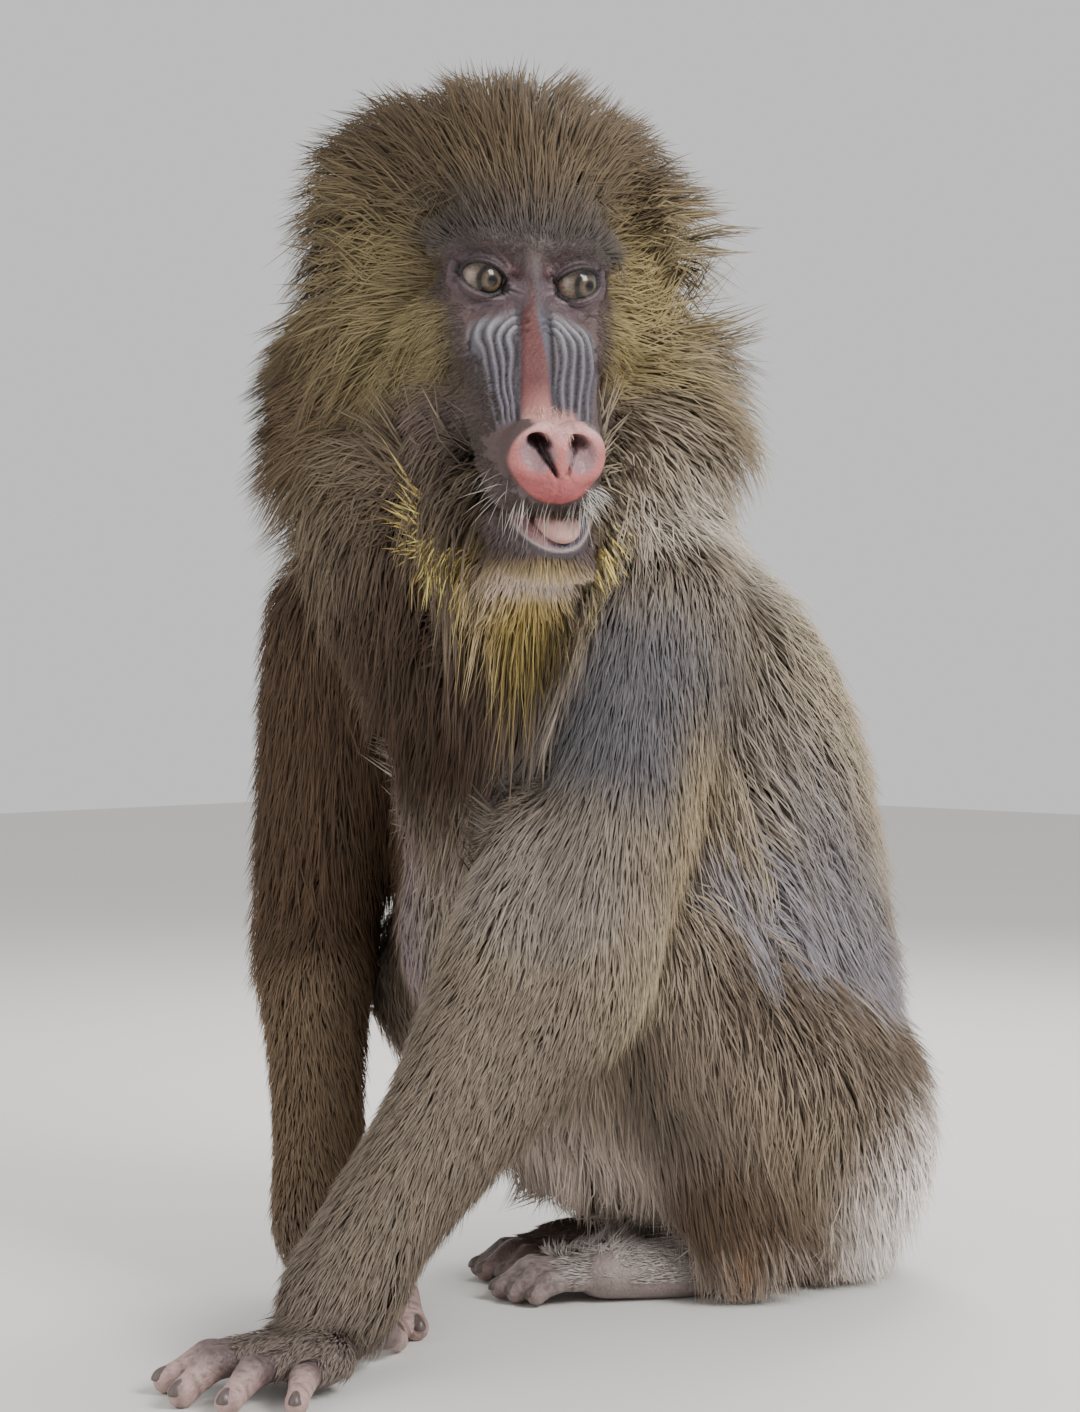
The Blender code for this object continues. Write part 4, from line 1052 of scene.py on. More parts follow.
def growCoat(mesh):
    tree, spacing = skinTree(mesh), coatLook["spacing"]
    places, outs = sampleRoots(mesh, coatLook["finest"])
    roots, outs = toViewer(places), outs @ turnIn
    weights = partWeights(roots)
    keep = ~bald(roots, outs, toHead(places), weights)
    apart = apartFor(roots, weights) * coatLook["apart"]
    level = np.round(np.log(apart) / spacing)[keep]
    chosen = np.flatnonzero(keep)[thinned(roots[keep], np.exp(level * spacing), level.astype(np.int64) + 20)]
    roots, outs, weights = roots[chosen], outs[chosen], weights[chosen]
    count = len(roots)
    sizes = hairSizes(roots, weights)
    long, deep, wide = (size * rng.uniform(*uneven, count) for size, uneven in zip(sizes, coatLook["uneven"]))
    # step along the lie of the coat, kept off the skin, and free to hang over an edge
    steps = coatLook["steps"]
    steady = np.ones(count, bool)
    stations = [roots - outs * 0.4]
    here, out = roots.copy(), outs.copy()
    turned = rng.normal(0, coatLook["stray"], (count, 3))
    for k in range(1, steps + 1):
        way = unit(lieAt(here, weights)) + turned
        way = way - out * np.minimum((way * out).sum(axis=1), 0)[:, None]
        way = unit(way)
        here = here + way * (long / steps)[:, None]
        near, out = nearestOnSkin(tree, here)
        height = ((here - near) * out).sum(axis=1)
        want = deep * coatLook["rises"][k]
        new = np.clip(height, want, want * 1.4 + 5)
        here = near + out * new[:, None] + (here - near - out * height[:, None]) * 0.6
        stations.append(here.copy())
        # a tuft that would jump to another part of the skin is left out
        move = stations[-1] - stations[-2]
        steady &= np.linalg.norm(move, axis=1) < 1.3 * long / steps + 0.5 * deep + 6
        steady &= (move * way).sum(axis=1) > 0
    # clumps, and a little wave
    cell = np.clip(long * 0.22, 2.5, 14)
    tight = valueFor(weights, "clump")
    for k, amount in coatLook["draw"]:
        stations[k], shift, clumpTone = clumped(stations[k], roots, cell, tight * amount)
    stations[3] = stations[3] + shift * (long * 0.045)[:, None]
    stations[2] = stations[2] + rng.normal(0, 1, (count, 3)) * (long * 0.012)[:, None]
    for s in stations:
        s[:, 2] = np.maximum(s[:, 2], 1.0)
    print("tufts", steady.sum(), "of", count)
    kept = [values[steady] for values in (roots, outs, weights, wide, long, clumpTone)]
    return (*kept, [s[steady] for s in stations])


def tuftRings(stations, outs, wide, bends):
    # closed three-sided spindles: a point in the skin, one or two rings, and a point
    if bends == 2:
        picked, shares = stations, (1.0, 0.72)
    else:
        picked, shares = (stations[0], (stations[1] + stations[2]) / 2, stations[3]), (1.0,)
    rings = [picked[0]]
    for k, share in enumerate(shares, 1):
        way = unit(picked[k + 1] - picked[k - 1])
        side = unit(np.cross(way, outs))
        up = unit(np.cross(side, way))
        w = (wide * share / 2)[:, None]
        middle = picked[k]
        rings += [middle - side * w, middle + up * w * 0.7, middle + side * w]
    return np.stack(rings + [picked[-1]], axis=1)


def tuftFaces(rings):
    faces = [(1 + (i + 1) % 3, 1 + i, 0) for i in range(3)]
    for k in range(rings - 1):
        a, b = k * 3 + 1, k * 3 + 4
        for i in range(3):
            j = (i + 1) % 3
            faces += [(a + i, a + j, b + i), (a + j, b + j, b + i)]
    a, tip = (rings - 1) * 3 + 1, rings * 3 + 1
    faces += [(a + i, a + (i + 1) % 3, tip) for i in range(3)]
    return np.array(faces)


def unwrapSkin(roots, outs, part):
    # each side of each part of the skin has its own tile
    u = np.empty((len(roots), 2))
    axis = np.abs(outs).argmax(axis=1)
    side = axis * 2 + (outs[np.arange(len(outs)), axis] > 0)
    parts = np.unique(part)
    grid = math.ceil(math.sqrt(len(parts) * 6))
    for n, one in enumerate(parts):
        mine = part == one
        low, high = roots[mine].min(axis=0), roots[mine].max(axis=0)
        spot = (roots - low) / np.maximum(high - low, 1)
        for s in range(6):
            here = mine & (side == s)
            axes = [a for a in range(3) if a != s // 2]
            tile = n * 6 + s
            corner = np.array([tile % grid, tile // grid]) / grid
            u[here] = corner + (0.04 + 0.92 * spot[here][:, axes]) / grid
    return u


def setNumbers(mesh, name, values):
    # one number or three for each vertex, for the materials
    kind, key = ("FLOAT", "value") if values.ndim == 1 else ("FLOAT_VECTOR", "vector")
    layer = mesh.attributes.new(name, kind, "POINT")
    layer.data.foreach_set(key, values.astype(np.float32).ravel())


def setTone(mesh, tone):
    tone = np.clip(tone.reshape(-1, 3), 0, 1)
    layer = mesh.color_attributes.new("tone", "FLOAT_COLOR", "POINT")
    colour = np.concatenate([tone, np.ones((len(tone), 1))], axis=1)
    layer.data.foreach_set("color", colour.astype(np.float32).ravel())


def tuftMesh(name, points, faces):
    mesh = bpy.data.meshes.new(name)
    mesh.vertices.add(len(points))
    mesh.vertices.foreach_set("co", fromViewer(points).astype(np.float32).ravel())
    mesh.loops.add(len(faces) * 3)
    mesh.loops.foreach_set("vertex_index", faces.astype(np.int32).ravel())
    mesh.polygons.add(len(faces))
    mesh.polygons.foreach_set("loop_start", np.arange(len(faces), dtype=np.int32) * 3)
    mesh.update(calc_edges=True)
    mesh.shade_smooth()
    return mesh


def tuftObject(name, grown, bends, ends=None):
    roots, outs, weights, wide, long, clumpTone, stations = grown
    points = tuftRings(stations, outs, wide, bends)
    count, each = points.shape[:2]
    rings = (each - 2) // 3
    faces = (tuftFaces(rings)[None] + (np.arange(count) * each)[:, None, None]).reshape(-1, 3)
    mesh = tuftMesh(name, points.reshape(-1, 3), faces)
    # a tuft is lit mostly as the skin under it is, so that the coat looks soft
    own = normalsOf(mesh).reshape(count, each, 3)
    soft = blend(own, (outs @ turnIn.T)[:, None], coatLook["soft"])
    mesh.normals_split_custom_set_from_vertices(unit(soft.reshape(-1, 3)).astype(np.float32))
    # colour from root to tip, with clumps and single tufts lighter and darker
    root, tip = ends or coatTone(roots, weights)
    base, spread, noise = coatLook["clumps"]
    shade = base + spread * clumpTone + rng.normal(0, noise, count)
    often, paler = coatLook["pale"]
    tip = np.where((rng.random(count) < often)[:, None], tip * paler, tip)
    along, dark = (
        np.array([first, *np.repeat(inner, 3), last])
        for first, *inner, last in (coatLook["along"][bends], coatLook["dark"][bends])
    )
    tone = blend(root[:, None], tip[:, None], along[None, :, None])
    setTone(mesh, tone * dark[None, :, None] * np.clip(shade, 0.5, 1.4)[:, None, None])
    across = np.array([0.0] + [-1.0, 0.0, 1.0] * rings + [0.0])
    strand = [across, along * long[:, None] / 30, rng.random(count)[:, None]]
    setNumbers(mesh, "strand", np.stack([np.broadcast_to(v, (count, each)) for v in strand], axis=2))
    spot = unwrapSkin(roots, outs, weights.argmax(axis=1))
    half = coatLook["tile"] / 2
    levels = [coatLook["tile"] * (k + 1) / (rings + 1) - half for k in range(rings)]
    patch = np.array([(0, -half)] + [(x, up) for up in levels for x in (-half, 0, half)] + [(0, half)])
    uv = (spot[:, None] + patch[None]).reshape(-1, 2)[faces.ravel()]
    mesh.uv_layers.new(name="OFBake")
    mesh.uv_layers["OFBake"].uv.foreach_set("vector", uv.astype(np.float32).ravel())
    return newObject(name, mesh)


coatPieces = {
    "coatFace": ("head",), "coatCrown": ("head",), "coatCheekLeft": ("head",), "coatCheekRight": ("head",),
    "coatNeck": ("neck",), "coatBack": ("chest",), "coatChest": ("chest",), "coatBelly": ("belly", "tail"),
    "coatArmLeft": ("armLeft", "foreLeft"), "coatArmRight": ("armRight", "foreRight"),
    "coatHands": ("handLeft", "handRight"), "coatThighs": ("thighLeft", "thighRight"),
    "coatShins": ("shinLeft", "shinRight"), "coatFeet": ("footLeft", "footRight"),
}


def makeCoat(mesh):
    *grown, stations = growCoat(mesh)
    roots, weights, long = grown[0], grown[2], grown[4]
    part = weights.argmax(axis=1)
    x, _, z = toHead(fromViewer(roots)).T
    short = long < 13
    split = {
        "coatFace": short, "coatCrown": ~short & (z > 6),
        "coatCheekLeft": ~short & (z <= 6) & (x > 0), "coatCheekRight": ~short & (z <= 6) & (x <= 0),
        "coatBack": roots[:, 0] > 50, "coatChest": roots[:, 0] <= 50,
    }
    made = []
    for name, kinds in coatPieces.items():
        mine = np.isin(part, [i for i, p in enumerate(partNames) if p in kinds]) & split.get(name, True)
        bends = 1 if name == "coatFace" else coat[kindOf(kinds[0])]["bends"]
        picked = [values[mine] for values in grown] + [[s[mine] for s in stations]]
        made.append(tuftObject(name, picked, bends))
        print(name, mine.sum(), "tufts", len(made[-1].data.polygons), "triangles")
    return made


coatObjects = makeCoat(skin.data)

# Single hairs of the face: across, up, count, length, way, spread, width, root and tip
whiskers = (
    ((-22, 18), (-104, -98), 54, 17, (-0.35, -0.4, -1.0), 0.25, 0.36, (176, 164, 156), (232, 224, 216)),
    ((-34, -20), (-104, -86), 40, 19, (-0.7, -0.3, -0.8), 0.3, 0.34, (150, 138, 130), (222, 214, 206)),
    ((13, 27), (-108, -92), 110, 11, (0.5, -0.5, -0.45), 0.4, 0.42, (190, 182, 172), (238, 234, 226)),
    ((-20, 26), (-140, -130), 90, 12, (0.0, -0.5, -1.0), 0.4, 0.4, (196, 172, 158), (236, 220, 208)),
    ((-9, 8), (-67, -56), 90, 4.5, (0.0, -0.6, -0.6), 0.5, 0.3, (200, 150, 134), (232, 194, 170)),
    ((-38, -8), (12, 22), 60, 13, (-0.25, -0.5, 0.8), 0.3, 0.34, (44, 37, 34), (74, 64, 58)),
    ((8, 38), (12, 22), 60, 13, (0.25, -0.5, 0.8), 0.3, 0.34, (44, 37, 34), (74, 64, 58)),
)


def lashSpots(s):
    # along the edge of the upper lid
    e = eyes
    x = np.linspace(-0.9, 0.95, 26) * e["halfWide"]
    lens = np.sqrt(1 - (np.abs(x) / e["halfWide"]) ** e["lens"])
    return s * (e["across"] + x), e["slant"] * x + (e["up"] + 0.4) * lens + 0.3


def makeWhiskers(mesh):
    tree = skinTree(mesh)
    spots = []
    for across, up, count, *rest in whiskers:
        spots += [(x, z, *rest) for x, z in zip(rng.uniform(*across, count), rng.uniform(*up, count))]
    for s in (-1, 1):
        lash = (4.5, (s * 0.15, -1.0, 0.5), 0.2, 0.3, (22, 16, 14), (34, 26, 22))
        spots += [(x, z, *lash) for x, z in zip(*lashSpots(s))]
    roots, outs, ways, sizes, ends = [], [], [], [], []
    for x, z, long, way, spread, wide, root, tip in spots:
        place, out = tree.ray_cast(onHead(x, -200, z), headTurn @ Vector((0, 1, 0)))[:2]
        if place is None:
            continue
        roots.append(place)
        outs.append(out)
        ways.append(headTurn @ (Vector(way).normalized() + Vector(rng.normal(0, spread, 3))))
        sizes.append((long * rng.uniform(0.6, 1.3), wide))
        ends.append((srgb(*root), srgb(*tip)))
    roots, outs, ways = toViewer(np.array(roots)), np.array(outs) @ turnIn, unit(np.array(ways) @ turnIn)
    long, wide = np.array(sizes).T
    ways = unit(ways + outs * 0.25)
    sag = np.array([0, 0, -1.0])
    stations = [roots + (ways * k / 3 + sag * 0.22 * (k / 3) ** 2) * long[:, None] for k in range(4)]
    ends = tuple(np.array(ends)[:, i] for i in (0, 1))
    grown = (roots, outs, partWeights(roots), wide, long, np.full(len(roots), 0.5), stations)
    return tuftObject("whiskers", grown, 2, ends)


coatObjects.append(makeWhiskers(skin.data))


def makeEye(s):
    e = eyes
    shape = bmesh.new()
    bmesh.ops.create_uvsphere(shape, u_segments=64, v_segments=48, radius=e["radius"])
    yaw, pitch = (math.radians(v) for v in e["gaze"][s > 0])
    look = Vector((math.sin(yaw) * math.cos(pitch), -math.cos(yaw) * math.cos(pitch), math.sin(pitch)))
    aim = look.to_track_quat("Z", "Y").to_matrix()
    polar, places = [], []
    for v in shape.verts:
        angle = v.co.angle(Vector((0, 0, 1)))
        around = math.atan2(v.co.y, v.co.x)
        polar.append((math.degrees(angle), math.cos(around), math.sin(around)))
        v.co *= 1 + e["cornea"] * max(0, 1 - (math.degrees(angle) / e["corneaWide"]) ** 2)
        places.append(aim @ v.co + Vector((s * e["across"], 0, 0)))
        v.co = onHead(*places[-1])
    obj = fromBmesh("eyeLeft" if s > 0 else "eyeRight", shape)
    setNumbers(obj.data, "iris", np.array(polar))
    # painted shadow of the lids on the eye, most under the upper one
    places = np.array(places)
    m = lidDistance(places, s)
    over = smooth(-1, 4, places[:, 2])
    setNumbers(obj.data, "shade", 1 - (0.35 + 0.4 * over) * smooth(-3.6 - 2 * over, -0.2, m))
    obj.data.shade_smooth()
    return obj


tongue = {
    "middle": (8.0, -60, -114.4), "size": (11.4, 22, 7.8), "groove": (0.6, 0.16), "droop": 0.13,
    "bumps": (0.25, 31, 9, 37),
}


def makeTongue():
    wide, long, tall = tongue["size"]
    deep, narrow = tongue["groove"]
    high, a, b, c = tongue["bumps"]
    shape = bmesh.new()
    bmesh.ops.create_icosphere(shape, subdivisions=5, radius=1)
    for v in shape.verts:
        x, y, z = v.co
        top = max(z, 0)
        bumps = high * math.sin(x * a + y * b) * math.sin(y * c)
        drop = tongue["droop"] * long * max(-y, 0) ** 2
        up = z * tall - top * deep * math.exp(-(x / narrow) ** 2) + top * bumps - drop
        v.co = onHead(*(Vector((x * wide, y * long, up)) + Vector(tongue["middle"])))
    obj = fromBmesh("tongueTip", shape)
    obj.data.shade_smooth()
    return obj


# Shares of the digit's own radius
nail = {
    "size": (0.62, 0.78, 0.26), "lift": 0.46, "forward": 0.2, "bends": (0.45, 0.25), "raised": 0.35,
    "inset": 1.2,  # millimetres
}


def makeNails():
    # a narrow curved plate on the tip of each finger and toe
    shape = bmesh.new()
    fingers = hands["left"]["fingers"] + hands["right"]["fingers"]
    toes = feet["left"]["toes"] + feet["right"]["toes"]
    wide, long, tall = nail["size"]
    across, forward = nail["bends"]
    for _, middle, tip, thick in fingers + toes:
        a, b = at(*middle), at(*tip)
        way = (b - a).normalized()
        side = way.cross(Vector((0, 0, 1))).normalized()
        up = side.cross(way).normalized()
        r = (thick - nail["inset"]) * mm
        place = Matrix((side, way, up)).transposed().to_4x4()
        place.translation = b + up * r * nail["lift"] + way * r * nail["forward"]
        made = bmesh.ops.create_uvsphere(shape, u_segments=20, v_segments=12, radius=1)["verts"]
        for v in made:
            x, y, z = v.co
            bend = -across * x * x - forward * max(y, 0) ** 2
            v.co = Vector((x * wide * r, y * long * r, (z * tall + bend + nail["raised"]) * r))
        bmesh.ops.transform(shape, matrix=place, verts=made)
    obj = fromBmesh("nails", shape)
    obj.data.shade_smooth()
    return obj


# Colours of the bare skin
bare = {
    "stripe": ((64, 38, 37), (98, 58, 56), (160, 106, 102)), "bridge": (84, 79, 88), "highBridge": (62, 51, 53),
    "ridge": ((150, 146, 152), (112, 106, 114)), "furrow": (30, 24, 29), "underBridge": (190, 140, 132),
    "nose": ((180, 110, 107), (160, 84, 84), (198, 148, 144)), "hollow": (142, 116, 120),
    # the near black of the nostril holes is painted shade
    "hole": (34, 18, 20), "lip": (92, 78, 78), "lowerLip": (66, 58, 62), "lipRim": (164, 146, 142),
    # the dark deep in the mouth is painted shade
    "mouth": ((150, 116, 116), (62, 56, 68)), "deepMouthShade": (40, 22, 24),
    "lid": (84, 68, 72), "lidLine": (60, 44, 48), "overLid": (60, 36, 37),
    "crease": (48, 20, 24), "overCrease": (106, 80, 80), "underCrease": (62, 46, 52), "pouch": (146, 130, 130),
    "lidRim": (26, 18, 20), "underBrow": (46, 36, 36), "brow": (74, 62, 60), "cheek": (80, 63, 61),
    "chin": (170, 144, 134), "ear": (150, 116, 108), "digitLine": (62, 48, 46), "toeTip": (140, 120, 115),
    "handLeft": (98, 83, 81), "handRight": (98, 83, 81), "fingerTip": (180, 150, 144),
    # footRight is darkened with painted shade
    "footLeft": (136, 122, 118), "footRight": (74, 55, 48),
}
# How far the colour of the tips reaches up the fingers and toes, and how strong it is
tipLook = {"hand": (26, 8, 0.9, "fingerTip"), "foot": (14, 4, 0.6, "toeTip")}


def skinTone(mesh):
    co = verticesOf(mesh)
    points, h = toViewer(co), toHead(co)
    weights = partWeights(points)
    root, tip = coatTone(points, weights)
    tone = root * 0.6 + tip * 0.34

    def paint(amount, name):
        nonlocal tone
        tone = mixed(tone, srgb(*bare[name]), np.clip(amount, 0, 1))

    def ramp(name, *shares):
        # from the first colour of this name to the others
        colour = srgb(*bare[name][0])
        for share, other in zip(shares, bare[name][1:]):
            colour = blend(colour, srgb(*other), share[:, None])
        return colour

    w = {name: weights[:, i] for i, name in enumerate(partNames)}
    for side in ("Left", "Right"):
        for kind in ("hand", "foot"):
            paint(smooth(0.3, 0.7, w[kind + side]), kind + side)
        for kind, (high, low, amount, name) in tipLook.items():
            tips = np.zeros(len(points))
            for line in digitLines(side, kind):
                along = np.linalg.norm(points - np.array(line[-1][0]), axis=1)
                tips = np.maximum(tips, smooth(high, low, along))
            paint(w[kind + side] * tips * amount, name)
        # dark creases across the fingers and toes
        for kind in tipLook:
            for line in digitLines(side, kind):
                along = np.linalg.norm(points - np.array(line[-1][0]), axis=1)
                near = smooth(5, 2, lineDistance(points, line)) * smooth(4, 7, along) * w[kind + side]
                wave = np.sin(along * 0.9 + line[0][0][0]) * 2
                lines = 0.5 + 0.5 * np.sin(along * 2.1 + wave + points[:, 0] * 0.4)
                paint(near * lines ** 4 * 0.55, "digitLine")
    share = smooth(0.3, 0.6, w["head"])
    x, y, z = h.T
    side = np.abs(x)
    t = alongMuzzle(h)
    edge = faceEdge(h)
    face = share * smooth(10, 4, edge) * (y < 14)
    paint(face, "cheek")
    paint(face * smooth(2, 12, z), "brow")
    # ridges, lighter near their tops
    count, field = ridgeCount(h)
    field = face * field
    light = ramp("ridge", smooth(0.0, 0.5, t))
    inner = smooth(5.6, 3.2, count)[:, None]
    tone = mixed(tone, light * inner + light * 0.62 * (1 - inner), field * 0.95)
    paint(field * furrow(count) ** 0.7 * 0.95, "furrow")
    # bridge, with the stripe along its right side that widens across it
    slope = face * smooth(-0.34, -0.1, t) * smooth(1.04, 0.96, t) * (y < 2) * (nosePad(h) > 0.98)
    over = fromBridge(h)
    paint(slope * smooth(9.6, 7.8, np.abs(over)), "bridge")
    paint(slope * smooth(10.6, 8.8, np.abs(over)) * smooth(0.15, -0.15, t), "highBridge")
    left, right = -2.0 - 5.0 * smooth(-0.3, 0.1, t), 0.6 + 6.6 * smooth(-0.1, 0.75, t)
    stripe = slope * smooth(left - 0.9, left + 0.9, over) * smooth(right + 1.0, right - 1.0, over)
    tone = mixed(tone, ramp("stripe", smooth(-0.25, 0.3, t), smooth(0.62, 1.0, t)), stripe)
    paint(slope * band(np.abs(over) - 8.2, 0.6 * t, 1.3) * smooth(-0.2, 0.1, t) * 0.9, "furrow")
    # pink skin with bristles between the bridge and the nose
    paint(share * smooth(-56, -64, z) * smooth(-84, -76, z) * smooth(15, 11, side) * (y < -40), "underBridge")
    # lids
    for s in (-1, 1):
        m = lidDistance(h, s)
        near = share * (x * s > 0) * (y < 6)
        paint(near * smooth(15, 8, m) * smooth(-1, 4, z), "overLid")
        paint(near * smooth(12, 6, m) * smooth(2, -3, z), "lid")
        paint(near * smooth(6.0, 5.0, m), "lid")
        paint(near * band(m, 3.0, 0.6) * 0.6, "lidLine")
        paint(near * band(m, 9.2, 1.5) * smooth(3, 7, z) * 0.8, "overCrease")
        paint(near * band(m, 6.2, 1.0) * smooth(-2, 3, z), "crease")
        paint(near * band(m, 5.6, 0.9) * smooth(2, -3, z) * 0.6, "underCrease")
        paint(near * band(m, 1.9, 0.6) * 0.5 * smooth(2, -2, z), "pouch")
        paint(near * smooth(1.3 + 1.3 * (z > 0), 0.5, m), "lidRim")
        paint(near * smooth(20, 14, m) * smooth(13, 9, m) * smooth(4, 12, z) * 0.7, "underBrow")
    # nose and nostrils, with painted shade in the holes and slits
    pad = share * smooth(-58, -66, y) * smooth(1.03, 0.97, nosePad(h))
    tone = mixed(tone, ramp("nose", smooth(-80, -94, z), smooth(-76, -64, z)), pad)
    for s, holeShade, slitShade in ((-1, 1.0, 1.0), (1, 0.6, 0.55)):
        near = pad * (x * s > 0)
        paint(near * smooth(1.1, 0.8, ovalShare(h, s, *nose["hollow"][:2])) * 0.85, "hollow")
        paint(near * smooth(1.05, 0.7, ovalShare(h, s, *nose["hole"][:2])) * holeShade, "hole")
        paint(near * smooth(1.1, 0.5, slitShare(h, s)) * slitShade, "hole")
    # lips, mouth with painted shade deep inside it, and chin
    lips = share * (y < -20) * smooth(36, 30, side)
    paint(lips * (nosePad(h) > 1.03) * smooth(-90, -96, z) * smooth(-112, -108, z), "lip")
    paint(lips * smooth(-116, -119, z) * smooth(-140, -134, z), "lowerLip")
    paint(share * smooth(-133, -137, z) * smooth(-30, -45, y), "chin")
    within = mouthShare(h)
    inside = share * smooth(1.04, 0.98, within)
    tone = mixed(tone, ramp("mouth", smooth(-4, 8, x)), inside)
    paint(inside * smooth(-58, -46, y), "deepMouthShade")
    paint(share * band(within, 1.05, 0.045) * (z < -110) * (y < -40), "lipRim")
    # ears
    ear = share * smooth(48, 54, side) * smooth(30, 24, np.hypot(y - 74, z - 4))
    paint(ear, "ear")
    setTone(mesh, tone)
    # how wet each place is, for the gloss
    palms = sum(w[kind + side] for kind in ("hand", "foot") for side in ("Left", "Right"))
    setNumbers(mesh, "wet", np.clip(inside + 0.55 * pad + 0.45 * palms, 0, 1))


skinTone(skin.data)
skin.data.shade_smooth()
eyePieces = [makeEye(1), makeEye(-1)]
tongueTip = makeTongue()
nails = makeNails()


# Materials
def socket(group, name, kind, way, value=None):
    made = group.interface.new_socket(name=name, in_out=way, socket_type=kind)
    if value is not None:
        made.default_value = value
    return made


def addNode(tree, kind, inputs=None, **values):
    node = tree.nodes.new(kind)
    for key, value in values.items():
        setattr(node, key, value)
    for key, value in (inputs or {}).items():
        node.inputs[key].default_value = value
    return node


def wire(tree, *links):
    # each link is a node, its output, a node and its input
    for source, out, target, into in links:
        tree.links.new(source.outputs[out], target.inputs[into])


def makeMottleGroup():
    # soft and fine changes of shade over a base colour
    group = bpy.data.node_groups.new("Mottled colour", "ShaderNodeTree")
    socket(group, "Colour", "NodeSocketColor", "INPUT", (0.5, 0.5, 0.5, 1))
    socket(group, "Scale", "NodeSocketFloat", "INPUT", 100.0)
    socket(group, "Amount", "NodeSocketFloat", "INPUT", 0.3)
    socket(group, "Colour", "NodeSocketColor", "OUTPUT")
    start, end = addNode(group, "NodeGroupInput"), addNode(group, "NodeGroupOutput")
    place = addNode(group, "ShaderNodeTexCoord")
    noise = addNode(group, "ShaderNodeTexNoise", {"Detail": 5, "Roughness": 0.62})
    centred = addNode(group, "ShaderNodeMath", {1: 0.5}, operation="SUBTRACT")
    scaled = addNode(group, "ShaderNodeMath", {2: 1.0}, operation="MULTIPLY_ADD")
    shade = addNode(group, "ShaderNodeVectorMath", operation="SCALE")
    wire(
        group, (place, "Object", noise, "Vector"), (start, "Scale", noise, "Scale"), (noise, "Fac", centred, 0),
        (centred, 0, scaled, 0), (start, "Amount", scaled, 1),
        (start, "Colour", shade, 0), (scaled, 0, shade, "Scale"), (shade, 0, end, "Colour"),
    )
    return group


def makePoresGroup():
    # a height of pores, creases and grain for bare skin
    group = bpy.data.node_groups.new("Skin grain", "ShaderNodeTree")
    socket(group, "Scale", "NodeSocketFloat", "INPUT", 900.0)
    socket(group, "Creases", "NodeSocketFloat", "INPUT", 0.6)
    socket(group, "Height", "NodeSocketFloat", "OUTPUT")
    start, end = addNode(group, "NodeGroupInput"), addNode(group, "NodeGroupOutput")
    place = addNode(group, "ShaderNodeTexCoord")
    cells = addNode(group, "ShaderNodeTexVoronoi", feature="DISTANCE_TO_EDGE")
    noise = addNode(group, "ShaderNodeTexNoise", {"Detail": 6})
    mix = addNode(group, "ShaderNodeMath", operation="MULTIPLY_ADD")
    wire(
        group, (place, "Object", cells, "Vector"), (start, "Scale", cells, "Scale"),
        (place, "Object", noise, "Vector"), (start, "Scale", noise, "Scale"),
        (cells, "Distance", mix, 0), (start, "Creases", mix, 1), (noise, "Fac", mix, 2),
        (mix, 0, end, "Height"),
    )
    return group


mottle, pores = makeMottleGroup(), makePoresGroup()


def newMaterial(name, values):
    made = bpy.data.materials.new(name)
    made.use_nodes = True
    shader = made.node_tree.nodes["Principled BSDF"]
    for key, value in values.items():
        shader.inputs[key].default_value = value
    return made, made.node_tree, shader


def useGroup(tree, group, **values):
    return addNode(tree, "ShaderNodeGroup", values, node_tree=group)


def addBump(tree, source, out, target, strength, deep):
    bump = addNode(tree, "ShaderNodeBump", {"Strength": strength, "Distance": deep})
    wire(tree, (source, out, bump, "Height"), (bump, "Normal", target, "Normal"))
    return bump


def scaledColour(tree, colour, colourOut, amount, amountOut):
    node = addNode(tree, "ShaderNodeVectorMath", operation="SCALE")
    wire(tree, (colour, colourOut, node, 0), (amount, amountOut, node, "Scale"))
    return node


def addRange(tree, source, out, given, wanted):
    inputs = {"From Min": given[0], "From Max": given[1], "To Min": wanted[0], "To Max": wanted[1]}
    node = addNode(tree, "ShaderNodeMapRange", inputs)
    wire(tree, (source, out, node, "Value"))
    return node


def makeSkinMaterial():
    made, tree, shader = newMaterial("Bare skin", {
        "Subsurface Weight": 0.08, "Subsurface Radius": (0.004, 0.0015, 0.001), "Specular IOR Level": 0.42,
    })
    tone, wet = (addNode(tree, "ShaderNodeAttribute", attribute_name=name) for name in ("tone", "wet"))
    coarse = useGroup(tree, mottle, Scale=160.0, Amount=0.45)
    fine = useGroup(tree, mottle, Scale=900.0, Amount=0.5)
    wire(
        tree, (tone, "Color", coarse, "Colour"), (coarse, "Colour", fine, "Colour"),
        (fine, "Colour", shader, "Base Color"),
    )
    gloss = addRange(tree, wet, "Fac", (0, 1), (0.56, 0.28))
    wire(tree, (gloss, "Result", shader, "Roughness"))
    grain = useGroup(tree, pores, Scale=1100.0, Creases=0.9)
    folds = useGroup(tree, pores, Scale=330.0, Creases=1.4)
    first = addBump(tree, grain, "Height", shader, 0.35, 0.0006)
    addBump(tree, folds, "Height", first, 0.4, 0.0012)
    return made


def makeFurMaterial():
    made, tree, shader = newMaterial("Coat", {"Roughness": 0.58, "Specular IOR Level": 0.35})
    tone, strand = (addNode(tree, "ShaderNodeAttribute", attribute_name=name) for name in ("tone", "strand"))
    # fine hairs across each tuft, long ones along it
    hairs = addNode(tree, "ShaderNodeTexNoise", {"Scale": 1.6, "Detail": 3})
    stretch = addNode(tree, "ShaderNodeMapping", {"Scale": (2.6, 0.9, 40.0)})
    wire(tree, (strand, "Vector", stretch, "Vector"), (stretch, "Vector", hairs, "Vector"))
    shade = addRange(tree, hairs, "Fac", (0.32, 0.68), (0.62, 1.32))
    wire(tree, (scaledColour(tree, tone, "Color", shade, "Result"), 0, shader, "Base Color"))
    addBump(tree, hairs, "Fac", shader, 0.5, 0.0006)
    return made


